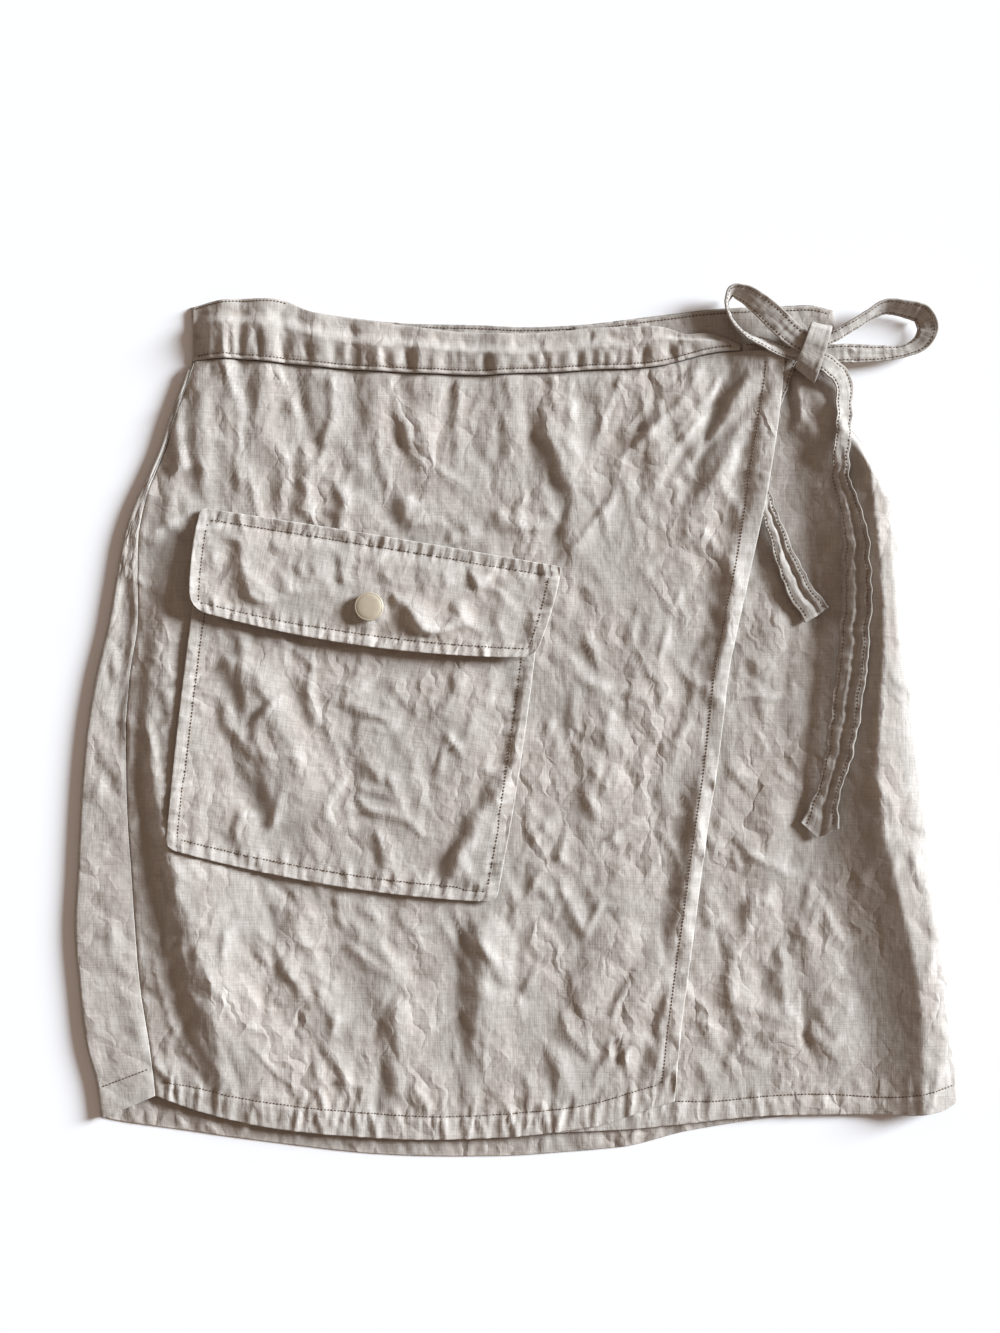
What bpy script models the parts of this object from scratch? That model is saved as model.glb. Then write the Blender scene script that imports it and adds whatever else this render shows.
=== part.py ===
"""Wrap mini skirt in washed linen and cotton, laid flat with its back on the table.

The wearer's waist is at +Y, the hem at -Y, +Z is up and the table is z = 0. The sizes
below are millimetres. Every cloth piece is a thin closed wall: a grid of points between
the piece's cut edges, at the height of its folds, with half the wall below and half above.
"""

import math

import bmesh
import bpy
import numpy as np

MM = 0.001

# ---------------------------------------------------------------- named sizes
WALL = 1.2  # thickness of every cloth wall
SEAM = 0.3  # gap between two pieces that are sewn edge to edge
LAY = 0.8  # gap between two layers that lie on each other
BAND = 33.0  # height of the waistband

FLOOR_Z = WALL / 2  # middle of the cloth that lies on the table
UNDER_Z = FLOOR_Z + WALL + LAY  # middle of the underlap and its band
OVER_Z = UNDER_Z + WALL + LAY + 0.6  # middle of the overlapping front
SIDE_Z = FLOOR_Z + WALL + SEAM  # middle of a sheet that is sewn to the layer on the table
ROLL = 1.8  # radius of the left side fold, to the middle of the cloth
LIP_Z = FLOOR_Z + 2 * ROLL  # middle of the back panel where it has come round to the front

UNDER_INNER = (24.0, -46.0)  # hidden inner edge of the underlap: x at the waist, x at the hem
SEAM_TOP, SEAM_LOW = 188.0, -197.2  # ends of the left side seam
ROWS = 33  # points down the panels that meet at that seam
UNDER_COLUMNS = (*np.linspace(0, 0.46, 4)[:-1], *np.linspace(0.46, 1, 14))

SNAP_AT = (-78.0, 59.5)
SNAP_D = 15.0
SNAP_UNDER_D = 10.5


def table(columns, rows):
    """A short table as a dictionary of columns by name."""
    return dict(zip(columns.split(), np.array(rows, float).T))


# One row for each section across the skirt: the left side fold, the left side seam (the
# back panel comes round to it), the edge of the overlapping front and the right side fold.
SIDES = table(
    "y      left    seam    wrap   right",
    [
        (200, -172.5, -168.7, 140.5, 165.0),
        (188, -174.0, -170.2, 139.4, 166.0),
        (172, -179.5, -175.7, 138.0, 168.5),
        (158, -184.6, -180.8, 136.4, 173.0),
        (145, -188.5, -184.7, 134.6, 182.6),
        (130, -195.0, -190.8, 132.2, 191.6),
        (115, -202.0, -196.0, 129.6, 198.2),
        (100, -207.2, -199.0, 126.4, 201.0),
        (75, -212.0, -200.0, 121.0, 203.4),
        (50, -216.4, -200.0, 115.4, 205.0),
        (25, -222.4, -204.0, 110.4, 207.4),
        (0, -226.8, -206.0, 107.6, 209.6),
        (-25, -229.4, -206.0, 104.4, 213.2),
        (-50, -231.0, -205.4, 100.4, 216.6),
        (-80, -232.4, -203.4, 96.2, 220.4),
        (-110, -233.8, -201.4, 92.4, 224.4),
        (-140, -231.4, -198.8, 88.4, 228.4),
        (-170, -227.8, -194.0, 84.6, 230.8),
        (-192, -222.2, -191.2, 82.6, 232.0),
        (-214, -219.4, -189.4, 80.8, 232.2),
    ],
)

# One row for each section along the waist: the back band's top edge, the front band's top
# edge, the soft crease along the front band, and the seam below it.
WAIST = table(
    "x      back    front   crease  seam",
    [
        (-172, 217.5, 217.0, 207.6, 188.3),
        (-160, 220.5, 220.1, 208.2, 189.8),
        (-140, 222.0, 221.5, 208.0, 189.0),
        (-124, 221.3, 220.7, 206.0, 187.4),
        (-110, 215.8, 215.0, 202.2, 186.0),
        (-96, 213.2, 212.4, 199.4, 184.6),
        (-78, 210.8, 209.8, 197.0, 183.4),
        (-60, 209.2, 207.4, 195.8, 182.4),
        (-40, 208.6, 204.8, 194.2, 181.6),
        (-20, 208.2, 203.4, 192.6, 181.0),
        (0, 207.2, 203.2, 192.2, 182.0),
        (20, 207.6, 204.2, 193.6, 182.6),
        (40, 209.0, 206.2, 195.2, 184.0),
        (60, 211.5, 206.8, 197.0, 184.6),
        (76, 213.5, 206.6, 199.6, 186.4),
        (88, 215.0, 203.0, 199.2, 189.4),
        (98, 216.2, 203.4, 199.0, 192.0),
        (108, 217.0, 201.0, 198.2, 193.6),
        (119, 217.6, 196.4, 195.6, 194.2),
        (130, 218.0, 195.4, 195.0, 194.4),
        (142, 218.4, 195.0, 194.6, 193.6),
        (155, 218.6, 195.0, 194.6, 192.6),
        (166, 215.8, 195.0, 194.6, 191.6),
    ],
)

# One row for each section along the hem: the lower edges of the overlapping front, the
# underlap and the back.
HEM = table(
    "x      over    under   back",
    [
        (-222, -190.0, -212.0, -208.6),
        (-206, -193.4, -212.4, -211.6),
        (-190, -197.4, -213.0, -213.8),
        (-175, -203.0, -214.0, -215.8),
        (-155, -208.8, -215.0, -218.8),
        (-135, -213.2, -216.0, -221.4),
        (-110, -216.6, -216.6, -224.6),
        (-85, -218.6, -217.0, -227.4),
        (-55, -220.2, -217.2, -229.2),
        (-25, -219.8, -217.2, -229.5),
        (0, -218.5, -217.0, -229.0),
        (25, -215.6, -216.6, -227.2),
        (45, -212.2, -215.8, -225.6),
        (60, -207.2, -215.0, -223.8),
        (72, -203.2, -213.8, -220.8),
        (84, -199.8, -212.6, -217.4),
        (105, -199.0, -210.2, -213.4),
        (130, -199.0, -208.0, -209.8),
        (160, -199.0, -207.4, -206.6),
        (190, -199.0, -207.0, -205.6),
        (214, -199.0, -206.2, -203.4),
        (226, -199.0, -203.0, -200.4),
        (233, -199.0, -197.8, -196.8),
    ],
)

# The long ridge that stands up along the right side: where its crest is, how high it
# stands, and how far its two slopes reach.
SIDE_RIDGE = table(
    "y      crest   height  left    right",
    [
        (176, 172.0, 0.0, 12.0, 6.0),
        (150, 178.0, 3.4, 17.0, 8.0),
        (125, 184.0, 6.4, 23.0, 12.0),
        (100, 187.0, 8.2, 28.0, 14.0),
        (60, 190.0, 9.0, 32.0, 16.0),
        (20, 189.4, 9.0, 35.0, 18.0),
        (-20, 187.6, 9.0, 37.0, 24.0),
        (-55, 190.4, 8.4, 39.0, 26.0),
        (-90, 198.8, 8.0, 42.0, 22.0),
        (-120, 206.0, 7.4, 40.0, 19.0),
        (-150, 210.6, 6.8, 36.0, 18.0),
        (-180, 212.2, 6.0, 34.0, 19.0),
        (-210, 212.6, 5.2, 34.0, 19.0),
    ],
)

# The step down along the left side, where the front drops to the side fold: the middle of
# the slope and how much the cloth rises over it.
SIDE_STEP = table(
    "y      x       rise",
    [
        (130, -194.0, 0.4),
        (100, -197.0, 1.2),
        (60, -199.0, 2.4),
        (20, -200.0, 3.2),
        (-20, -197.0, 3.8),
        (-60, -190.5, 4.0),
        (-90, -185.5, 4.0),
        (-120, -180.0, 3.8),
        (-150, -174.0, 3.4),
        (-180, -164.5, 2.6),
        (-212, -154.0, 1.6),
    ],
)
STEP_HALF = 9.0
STEP_FADE = 60.0

# Largest folds of the overlapping front, from their upper to their lower end. bend moves
# the middle of the crest to the right; left and right are the reach of the two slopes.
FOLD_COLUMNS = "x0 y0 x1 y1 bend height left right"
OVER_FOLDS = (
    # along the wrap edge, over the short end of the tie and the gathers by the bow
    (139, 232, 126, 82, 0, 3.1, 15, 15),
    (133, 214, 95, 100, -2, 2.6, 12, 12),
    (116, 100, 100, 0, 2, 2.2, 13, 10),
    (98, -10, 82, -126, 1, 2.4, 11, 9),
    (78, -118, 52, -158, 2, 1.6, 11, 12),
    # gathers hanging from the band
    (-169, 214, -164, 112, 2, 1.6, 7, 9),
    (-157, 220, -151, 104, 1, 2.4, 8, 9),
    (-135, 218, -131, 116, 0, 2.2, 12, 13),
    (-109, 208, -101, 138, 1, 1.6, 11, 13),
    (-78, 206, -74, 132, 2, 1.6, 13, 14),
    (-46, 204, -50, 136, -1, 1.4, 13, 14),
    (-12, 204, -6, 136, 2, 1.6, 13, 14),
    (13, 176, 34, 112, -3, 2.4, 11, 18),
    (34, 118, 27, 78, 1, 1.6, 11, 14),
    (66, 176, 75, 112, 2, 1.8, 12, 14),
    (88, 186, 92, 134, -3, 1.6, 12, 13),
    # below and beside the pocket
    (-20, -90, -16, -184, 2, 2.0, 15, 20),
    (-128, -108, -92, -166, -3, 1.8, 16, 18),
    (-80, -104, -64, -180, 2, 1.4, 16, 18),
    (30, 30, 44, -60, 4, 1.8, 17, 20),
    (58, -70, 30, -170, 3, 1.8, 18, 20),
    (66, 70, 60, -20, 4, 1.6, 16, 18),
)

UNDER_FOLDS = (
    # the hollow under the bow and the gathers of the underlap
    (136, 164, 168, 134, 3, 2.2, 12, 9),
    (153, 176, 170, 160, -1, 1.8, 10, 9),
    (140, 66, 122, 18, 2, 1.4, 14, 14),
    (134, -20, 124, -100, 3, 1.4, 16, 18),
    (96, -140, 152, -172, 2, 1.6, 14, 14),
    (150, -96, 172, -196, 2, 1.8, 16, 18),
)

POCKET_FOLDS = (
    (-146, 66, -98, -74, -6, 2.2, 20, 26),
    (-40, 44, -22, -88, 4, 1.2, 26, 22),
    (-84, 30, -62, -70, 5, 1.0, 22, 22),
)

# Pocket and flap: one row for each edge, from corner to corner, how far its middle bows
# out, and the radius that rounds its end. The edges run round clockwise from the top left.
EDGE_COLUMNS = "x0 y0 x1 y1 bow radius"
POCKET_EDGES = (
    (-165.4, 96.0, 12.4, 70.0, 0.0, 2.0),
    (12.4, 70.0, -11.6, -95.2, 2.2, 5.0),
    (-11.6, -95.2, -184.6, -66.6, 5.4, 5.0),
    (-184.6, -66.6, -165.4, 96.0, 1.4, 2.0),
)
FLAP_EDGES = (
    (-166.6, 111.6, 22.6, 80.6, 0.8, 2.0),
    (22.6, 80.6, 8.6, 33.0, 1.8, 7.0),
    (8.6, 33.0, -172.0, 58.6, 6.6, 9.0),
    (-172.0, 58.6, -166.6, 111.6, 2.0, 3.0),
)
FLAP_STAND = 3.0  # how far the flap's lower edge stands off the pocket
POCKET_PUFF = 0.9  # how far the middle of the pocket stands off the front

# Troughs of the puckered front band: where, how deep and how wide on each side.
PUCKERS = table(
    "x     depth  reach",
    [
        (-166, 0.6, 4.0), (-157, 0.9, 3.4), (-152, 0.8, 2.6), (-146, 1.0, 3.4),
        (-137, 1.0, 4.6), (-123, 1.1, 6.0), (-110, 0.9, 6.0), (-96, 0.8, 5.0),
        (-87, 1.1, 4.2), (-79, 0.7, 4.0), (-69, 1.3, 4.8), (-58, 1.3, 5.0),
        (-48, 0.8, 4.4), (-38, 0.9, 4.6), (-27, 0.6, 4.6), (-17, 1.0, 5.0),
        (-5, 0.8, 4.4), (3, 0.6, 4.0), (14, 0.7, 4.0), (21, 0.8, 3.6),
        (31, 1.0, 4.2), (39, 0.9, 3.2), (45, 0.8, 3.0), (52, 0.7, 2.6),
        (57, 0.8, 3.4), (65, 1.2, 5.0), (79, 1.2, 5.4), (91, 0.8, 5.0),
    ],
)  # fmt: skip

# Straps of the tie, one row for each section: the middle of the strap, its width there,
# its roll about its own length (90 stands on edge), and how deep it is creased lengthwise.
STRAP_COLUMNS = "x y z width roll crease"
LOOP_LEFT = (
    (150.5, 196.6, 11.7, 11.0, 0, 0.0),
    (144.0, 201.0, 11.4, 12.0, 0, 0.2),
    (135.0, 209.6, 10.4, 12.6, 6, 0.2),
    (126.0, 218.0, 9.4, 11.6, 14, 0.0),
    (118.0, 223.6, 8.6, 10.6, 36, 0.0),
    (111.6, 224.8, 8.2, 10.0, 62, 0.0),
    (109.2, 220.4, 8.0, 9.6, 76, 0.0),
    (109.8, 214.4, 8.0, 9.4, 76, 0.0),
    (114.0, 207.2, 8.0, 9.2, 74, 0.0),
    (121.0, 201.2, 8.4, 9.0, 66, 0.0),
    (130.0, 197.2, 9.4, 8.0, 44, 0.0),
    (139.0, 193.4, 9.4, 7.0, 14, 0.0),
    (148.0, 191.4, 9.6, 7.0, 0, 0.0),
)
LOOP_RIGHT = (
    (157.0, 197.6, 10.6, 6.0, 0, 0.0),
    (164.0, 200.6, 10.1, 6.2, -20, 0.0),
    (174.0, 206.4, 9.8, 7.6, -46, 0.0),
    (183.4, 212.2, 8.4, 9.0, -56, 0.0),
    (192.0, 216.8, 7.2, 10.4, -50, 0.0),
    (203.0, 215.8, 6.4, 11.4, -46, 0.0),
    (212.0, 212.8, 5.6, 12.0, -36, 0.0),
    (214.9, 206.0, 5.0, 11.4, -16, 0.0),
    (211.6, 198.8, 4.6, 9.6, -20, 0.0),
    (203.6, 194.4, 4.6, 7.6, -24, 0.0),
    (191.0, 192.8, 5.0, 8.6, -8, 0.2),
    (180.0, 192.6, 5.8, 9.6, 0, 0.2),
    (169.0, 192.6, 6.8, 10.0, 0, 0.0),
    (158.0, 191.4, 7.2, 9.6, 0, 0.0),
)
KNOT = (
    (155.6, 198.6, 5.2, 11.0, -17, 0.0),
    (157.4, 204.0, 5.2, 11.0, -15, 0.0),
    (158.6, 207.0, 7.6, 11.2, -13, 0.0),
    (158.2, 205.8, 11.6, 11.4, -13, 0.0),
    (156.6, 201.6, 14.0, 11.6, -15, 0.0),
    (153.4, 192.2, 14.3, 12.2, -24, 0.0),
    (150.8, 184.6, 12.8, 13.4, -37, 0.0),
    (149.9, 181.2, 9.4, 13.0, -39, 0.0),
    (150.6, 182.6, 6.0, 12.4, -36, 0.0),
    (152.4, 188.0, 5.2, 11.0, -26, 0.0),
)
# The two loose ends lie on the front: here z is how far they stand above where they lie.
TAIL_LONG = (
    (156.4, 189.4, 5.0, 9.6, 0, 0.0),
    (161.6, 186.4, 5.2, 10.0, 0, 0.0),
    (167.2, 181.8, 4.2, 10.0, 0, 0.0),
    (171.0, 175.0, 2.2, 9.6, 0, 0.0),
    (171.0, 165.0, 1.0, 9.0, 0, 0.0),
    (170.0, 152.0, 0.5, 8.6, 0, 0.0),
    (168.4, 138.0, 0.4, 8.8, 0, 0.1),
    (168.4, 126.0, 0.6, 9.4, 0, 0.4),
    (172.6, 112.0, 0.8, 11.0, 0, 0.8),
    (175.6, 96.0, 0.7, 12.8, 0, 1.0),
    (176.6, 72.0, 0.6, 14.4, 0, 1.1),
    (175.6, 48.0, 0.6, 15.0, 0, 1.1),
    (173.4, 24.0, 0.6, 15.4, 0, 1.1),
    (170.4, 0.0, 0.6, 15.0, 0, 1.1),
    (166.4, -22.0, 0.6, 13.4, 0, 1.1),
    (162.0, -38.0, 0.8, 12.2, 0, 1.1),
    (159.4, -47.0, 0.8, 15.6, 0, 0.8),
    (158.2, -55.0, 0.6, 20.0, 0, 0.4),
)
TAIL_LONG_POINT = 7.0  # how far the middle of its end runs past its corners
TAIL_SHORT = (
    (150.6, 193.0, 2.7, 5.6, 0, 0.0),
    (145.6, 191.2, 2.9, 5.6, 0, 0.0),
    (141.0, 185.6, 1.5, 6.2, 0, 0.0),
    (138.0, 175.6, 0.5, 7.4, 0, 0.0),
    (133.4, 164.0, 0.3, 7.4, 0, 0.0),
    (130.2, 150.0, 0.3, 7.4, 0, 0.0),
    (127.8, 134.0, 0.3, 7.4, 0, 0.0),
    (128.4, 120.0, 0.3, 7.4, 0, 0.0),
    (132.0, 108.0, 0.4, 8.0, 0, 0.5),
    (137.0, 94.0, 0.5, 9.6, 0, 0.8),
    (142.6, 80.0, 0.6, 12.0, 0, 1.0),
    (149.4, 66.0, 0.6, 13.8, 0, 1.0),
    (156.6, 55.4, 0.6, 14.6, 0, 0.9),
)
TAIL_SHORT_POINT = 0.6
TIE_ROOT = (
    (117.6, 195.2, 4.7, 6.6, 0, 0.0),
    (126.0, 194.6, 4.7, 6.6, 0, 0.0),
    (135.0, 193.4, 4.8, 6.6, 0, 0.0),
    (143.2, 191.6, 5.2, 6.6, 0, 0.0),
)

LINEN = (0.533, 0.479, 0.418)
LINEN_BACK = (0.487, 0.434, 0.376)
LINEN_TIE = (0.502, 0.470, 0.430)
BRASS = (0.578, 0.494, 0.318)


# ---------------------------------------------------------------- curves and heights
def along(rows, column, at, key=None):
    """A smooth curve through one column of a table, read at the given places."""
    key = key or next(iter(rows))
    t, p = rows[key], rows[column]
    if t[0] > t[-1]:
        t, p = t[::-1], p[::-1]
    slope = np.gradient(p, t)
    at = np.clip(np.asarray(at, float), t[0], t[-1])
    i = np.clip(np.searchsorted(t, at, "right") - 1, 0, len(t) - 2)
    h = t[i + 1] - t[i]
    s = (at - t[i]) / h
    return (
        (2 * s**3 - 3 * s**2 + 1) * p[i]
        + (s**3 - 2 * s**2 + s) * h * slope[i]
        + (3 * s**2 - 2 * s**3) * p[i + 1]
        + (s**3 - s**2) * h * slope[i + 1]
    )


def ease(t):
    """0 below 0, 1 above 1, and smooth between."""
    t = np.clip(t, 0.0, 1.0)
    return t * t * (3 - 2 * t)


def mound(t):
    """1 at 0, smoothly down to 0 at -1 and 1."""
    return np.clip(1 - t * t, 0.0, None) ** 2


def fold(x, y, x0, y0, x1, y1, bend, height, left, right):
    """Height of one soft fold at x, y. Its crest fades out towards both ends."""
    dx, dy = x1 - x0, y1 - y0
    length = math.hypot(dx, dy)
    s = ((x - x0) * dx + (y - y0) * dy) / length**2
    side = ((y - y0) * dx - (x - x0) * dy) / length - bend * 4 * s * (1 - s)
    across = mound(side / np.where(side < 0, left, right))
    return height * across * ease(s / 0.3) * ease((1 - s) / 0.3)


def folds(x, y, rows):
    return sum(fold(x, y, *row) for row in rows)


def side_seam(y):
    """The left side seam."""
    return along(SIDES, "seam", y)


def under_z(x, y):
    """Height of the middle of the underlap's cloth."""
    crest = along(SIDE_RIDGE, "crest", y)
    reach = np.where(
        x < crest, along(SIDE_RIDGE, "left", y), along(SIDE_RIDGE, "right", y)
    )
    ridge = along(SIDE_RIDGE, "height", y) * mound((x - crest) / reach)
    z = UNDER_Z + ridge + folds(x, y, UNDER_FOLDS)
    sewn = ease((along(SIDES, "right", y) - x) / 8.0)
    return SIDE_Z + (z - SIDE_Z) * sewn


def over_z(x, y):
    """Height of the middle of the overlapping front's cloth."""
    seam = side_seam(y)
    step = (x - along(SIDE_STEP, "x", y)) / STEP_HALF
    rise = along(SIDE_STEP, "rise", y) * ease((step + 1) / 2)
    rise = rise * (1 - ease((step * STEP_HALF - 6) / STEP_FADE))
    z = OVER_Z + rise + folds(x, y, OVER_FOLDS)
    low = LIP_Z + (z - LIP_Z) * ease((x - seam) / 14.0)
    hem = ease((y - along(HEM, "over", x)) / 16.0)
    return np.minimum(low, OVER_Z - 0.5) * (1 - hem) + low * hem


def pucker(x):
    """The puckers of the band, as a depth at x."""
    x = np.asarray(x, float)[..., None]
    return np.sum(PUCKERS["depth"] * mound((x - PUCKERS["x"]) / PUCKERS["reach"]), -1)


def band_z(x, y):
    """Height of the middle of the front band: up to its crease, then leaning back."""
    seam = along(WAIST, "seam", x)
    crease = along(WAIST, "crease", x)
    top = along(WAIST, "front", x)
    low = np.clip((y - seam) / np.maximum(crease - seam, 1.0), 0, 1)
    high = np.clip((y - crease) / np.maximum(top - crease, 1.0), 0, 1)
    swell = 2.2 * np.sin(low * math.pi / 2) * (1 - ease(high * 2.2))
    fade = ease((118 - x) / 26.0)
    z = over_z(x, seam) + (swell + 0.7 * (1 - high)) * fade
    z = z - pucker(x) * np.sin(np.clip(low, 0, 1) * math.pi) ** 0.7 * (high <= 0)
    z = z - 0.7 * ease(high * 1.6)
    end = ease((x + 172.0) / 11.0)
    return SIDE_Z + (np.maximum(z, UNDER_Z + WALL + 0.5) - SIDE_Z) * end


def patch_edges(rows):
    """Top, bottom, left and right edge of a four-sided piece, as functions of 0 to 1.

    Each edge leaves and meets its neighbours half way round their rounded corner.
    """
    rows = [dict(zip(EDGE_COLUMNS.split(), row)) for row in rows]
    nook = 1 - math.sqrt(0.5)

    def edge(index, flip):
        row, start = rows[index], rows[index - 1]["radius"]
        stop = row["radius"]
        a = np.array((row["x0"], row["y0"]))
        b = np.array((row["x1"], row["y1"]))
        length = np.linalg.norm(b - a)
        way = (b - a) / length
        out = np.array((-way[1], way[0]))

        def points(t):
            t = 1 - np.asarray(t) if flip else np.asarray(t)
            d = start * nook + t * (length - (start + stop) * nook)
            cut = np.zeros_like(d)
            for r, from_corner in ((start, d), (stop, length - d)):
                inside = np.clip(r - from_corner, 0, r)
                cut = cut + r - np.sqrt(r * r - inside * inside)
            s = d / length
            bow = row["bow"] * 4 * s * (1 - s)
            return a + d[:, None] * way + (bow - cut)[:, None] * out

        return points

    return edge(0, False), edge(2, True), edge(3, True), edge(1, False)


def patch(top, bottom, left, right, across, down):
    """The points between four edges: a grid with a row for each of down.

    The ends of the two side edges are drawn to the corners of the other two.
    """
    u = np.asarray(across, float)
    v = np.asarray(down, float)
    t, b = top(u)[None], bottom(u)[None]
    l, r = left(v)[:, None], right(v)[:, None]
    u, v = u[None, :, None], v[:, None, None]
    l = l + (1 - v) * (t[:, :1] - l[:1]) + v * (b[:, :1] - l[-1:])
    r = r + (1 - v) * (t[:, -1:] - r[:1]) + v * (b[:, -1:] - r[-1:])
    ends = (1 - v) * ((1 - u) * t[:, :1] + u * t[:, -1:]) + v * (
        (1 - u) * b[:, :1] + u * b[:, -1:]
    )
    return (1 - v) * t + v * b + (1 - u) * l + u * r - ends


def line_edge(x0, x1, height):
    """An edge that runs along the piece, from x0 to x1, at the height of a curve."""

    def points(t):
        x = x0 + (x1 - x0) * np.asarray(t)
        return np.stack([x, height(x)], -1)

    return points


def side_edge(y0, y1, place):
    """An edge that runs down the piece, from y0 to y1."""

    def points(t):
        y = y0 + (y1 - y0) * np.asarray(t)
        return np.stack([place(y), y], -1)

    return points


# ---------------------------------------------------------------- making solids
def material(name, colour, roughness, metallic):
    mat = bpy.data.materials.new(name)
    mat.use_nodes = True
    shader = mat.node_tree.nodes["Principled BSDF"]
    shader.inputs["Base Color"].default_value = (*colour, 1)
    shader.inputs["Roughness"].default_value = roughness
    shader.inputs["Metallic"].default_value = metallic
    mat.diffuse_color = (*colour, 1)
    return mat


def add_mesh(name, points, faces, colour, roughness=0.9, metallic=0.0):
    mesh = bpy.data.meshes.new(name)
    mesh.from_pydata((np.asarray(points) * MM).tolist(), [], faces)
    bm = bmesh.new()
    bm.from_mesh(mesh)
    bmesh.ops.recalc_face_normals(bm, faces=bm.faces)
    bm.to_mesh(mesh)
    bm.free()
    mesh.materials.append(material(name, colour, roughness, metallic))
    obj = bpy.data.objects.new(name, mesh)
    bpy.context.scene.collection.objects.link(obj)
    return obj


def cloth(name, lower, upper, colour):
    """A closed wall between two grids of points, with a rim round its edge."""
    rows, cols = lower.shape[:2]
    points = np.concatenate([lower.reshape(-1, 3), upper.reshape(-1, 3)])
    here = np.arange(rows * cols).reshape(rows, cols)
    over = rows * cols
    faces = []
    for i in range(rows - 1):
        for j in range(cols - 1):
            a, b = int(here[i, j]), int(here[i, j + 1])
            c, d = int(here[i + 1, j + 1]), int(here[i + 1, j])
            faces.append((a, b, c, d))
            faces.append((over + d, over + c, over + b, over + a))
    rim = [*here[0], *here[1:, -1], *here[-1, -2::-1], *here[-2:0:-1, 0]]
    for a, b in zip(rim, rim[1:] + rim[:1]):
        faces.append((int(b), int(a), over + int(a), over + int(b)))
    return add_mesh(name, points, faces, colour)


def sheet(name, plan, height, colour):
    """A piece that lies like a blanket: its wall stands half below and half above."""
    z = height(plan[..., 0], plan[..., 1])
    lower = np.dstack([plan, z - WALL / 2])
    upper = np.dstack([plan, z + WALL / 2])
    return cloth(name, lower, upper, colour)


def strap(name, rows, count, colour, height=None, point=0.0, lanes=5):
    """A strap along its table of sections, count rows long and lanes points wide."""
    rows = table(STRAP_COLUMNS, rows)
    middle = np.stack([rows["x"], rows["y"], rows["z"]], -1)
    steps = np.linalg.norm(np.diff(middle, axis=0), axis=1)
    rows["way"] = np.concatenate([[0.0], np.cumsum(steps)])
    t = np.linspace(0, rows["way"][-1], count)
    x, y, z, width, roll, crease = (
        along(rows, c, t, "way") for c in STRAP_COLUMNS.split()
    )
    spine = np.stack([x, y, z], -1)
    ahead = np.gradient(spine, axis=0)
    ahead /= np.linalg.norm(ahead, axis=1)[:, None]
    flat = np.cross(ahead, (0.0, 0.0, 1.0))
    steep = np.linalg.norm(flat, axis=1)[:, None]
    # where the strap turns over, its width keeps the direction that it had
    flat = np.where(steep > 0.25, flat / np.maximum(steep, 1e-6), 0.0)
    if name == "tie_knot":
        # round the knot the strap's width keeps level, turned in plan by the roll column
        turn = np.radians(roll)
        flat = np.stack([np.cos(turn), np.sin(turn), 0 * turn], -1)
        roll = 0 * roll
    up = np.cross(flat, ahead)
    up /= np.linalg.norm(up, axis=1)[:, None]
    r = np.radians(roll)[:, None]
    wide = flat * np.cos(r) + up * np.sin(r)
    out = up * np.cos(r) - flat * np.sin(r)
    lane = np.linspace(-1, 1, lanes)[None, :, None]
    dent = (1 - 2 * np.abs(np.abs(lane) - 0.5) * 2) * crease[:, None, None] * 0.5
    mid = spine[:, None] + wide[:, None] * lane * width[:, None, None] / 2
    mid = mid + out[:, None] * dent
    if point:
        share = np.clip((t - t[-1] + 14.0) / 14.0, 0, 1)[:, None, None]
        mid = mid + ahead[:, None] * point * share * (1 - np.abs(lane))
    if height is not None:
        rise = np.array((0.0, 0.0, WALL / 2))
        mid[..., 2] += height(mid[..., 0], mid[..., 1]) + WALL + LAY + 0.1
        return cloth(name, mid - rise, mid + rise, colour)
    return cloth(
        name,
        mid - out[:, None] * WALL / 2,
        mid + out[:, None] * WALL / 2,
        colour,
    )


# ---------------------------------------------------------------- the pieces
def back_seam(x):
    """The seam between the back panel and its band."""
    return along(WAIST, "back", x) - BAND


def left_top():
    """Where the back panel's flat part starts, at its upper left corner."""
    return float(along(SIDES, "left", 184.2)) + ROLL + WALL / 2


def back_panel():
    """The back lies on the table and comes round the left side to its seam."""
    outer = ROLL + WALL / 2
    down = np.linspace(0, 1, ROWS)
    left = lambda y: along(SIDES, "left", y) + outer
    x_low = float(left(-208.6))
    floor = patch(
        line_edge(166.0, left_top(), lambda x: back_seam(x) - SEAM / 2),
        line_edge(232.0, x_low, lambda x: along(HEM, "back", x)),
        side_edge(182.6, -197.0, lambda y: along(SIDES, "right", y)),
        side_edge(184.2, -208.6, left),
        np.linspace(0, 1, 13),
        down,
    )
    flat = np.full(floor.shape[:2], FLOOR_Z)
    lower = [np.dstack([floor, flat - WALL / 2])]
    upper = [np.dstack([floor, flat + WALL / 2])]

    def column(y, x, z, away_x, away_z):
        for grid, way in ((lower, 1), (upper, -1)):
            half = way * WALL / 2
            points = np.stack([x + away_x * half, y, z + away_z * half], -1)
            grid.append(points[:, None])

    low = -208.6
    for a in np.radians((-45.0, 0.0, 45.0, 90.0)):
        y = 184.2 + (low - 184.2) * down
        turn_x, turn_z = -math.cos(a), math.sin(a)
        z = np.full_like(y, FLOOR_Z + ROLL + ROLL * turn_z)
        column(y, left(y) + ROLL * turn_x, z, turn_x, turn_z)
    seam_y = np.linspace(SEAM_TOP, SEAM_LOW, ROWS)
    seam_y[0] = 184.2
    for s in np.linspace(0, 1, 4)[1:]:
        y = (1 - s) * (184.2 + (low - 184.2) * down) + s * seam_y
        x = left(y) + s * (side_seam(y) - SEAM / 2 - left(y))
        x[0] -= SEAM * s
        column(y, x, np.full_like(y, LIP_Z), 0.0, 1.0)
    return cloth("back_panel", np.hstack(lower), np.hstack(upper), LINEN_BACK)


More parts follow.
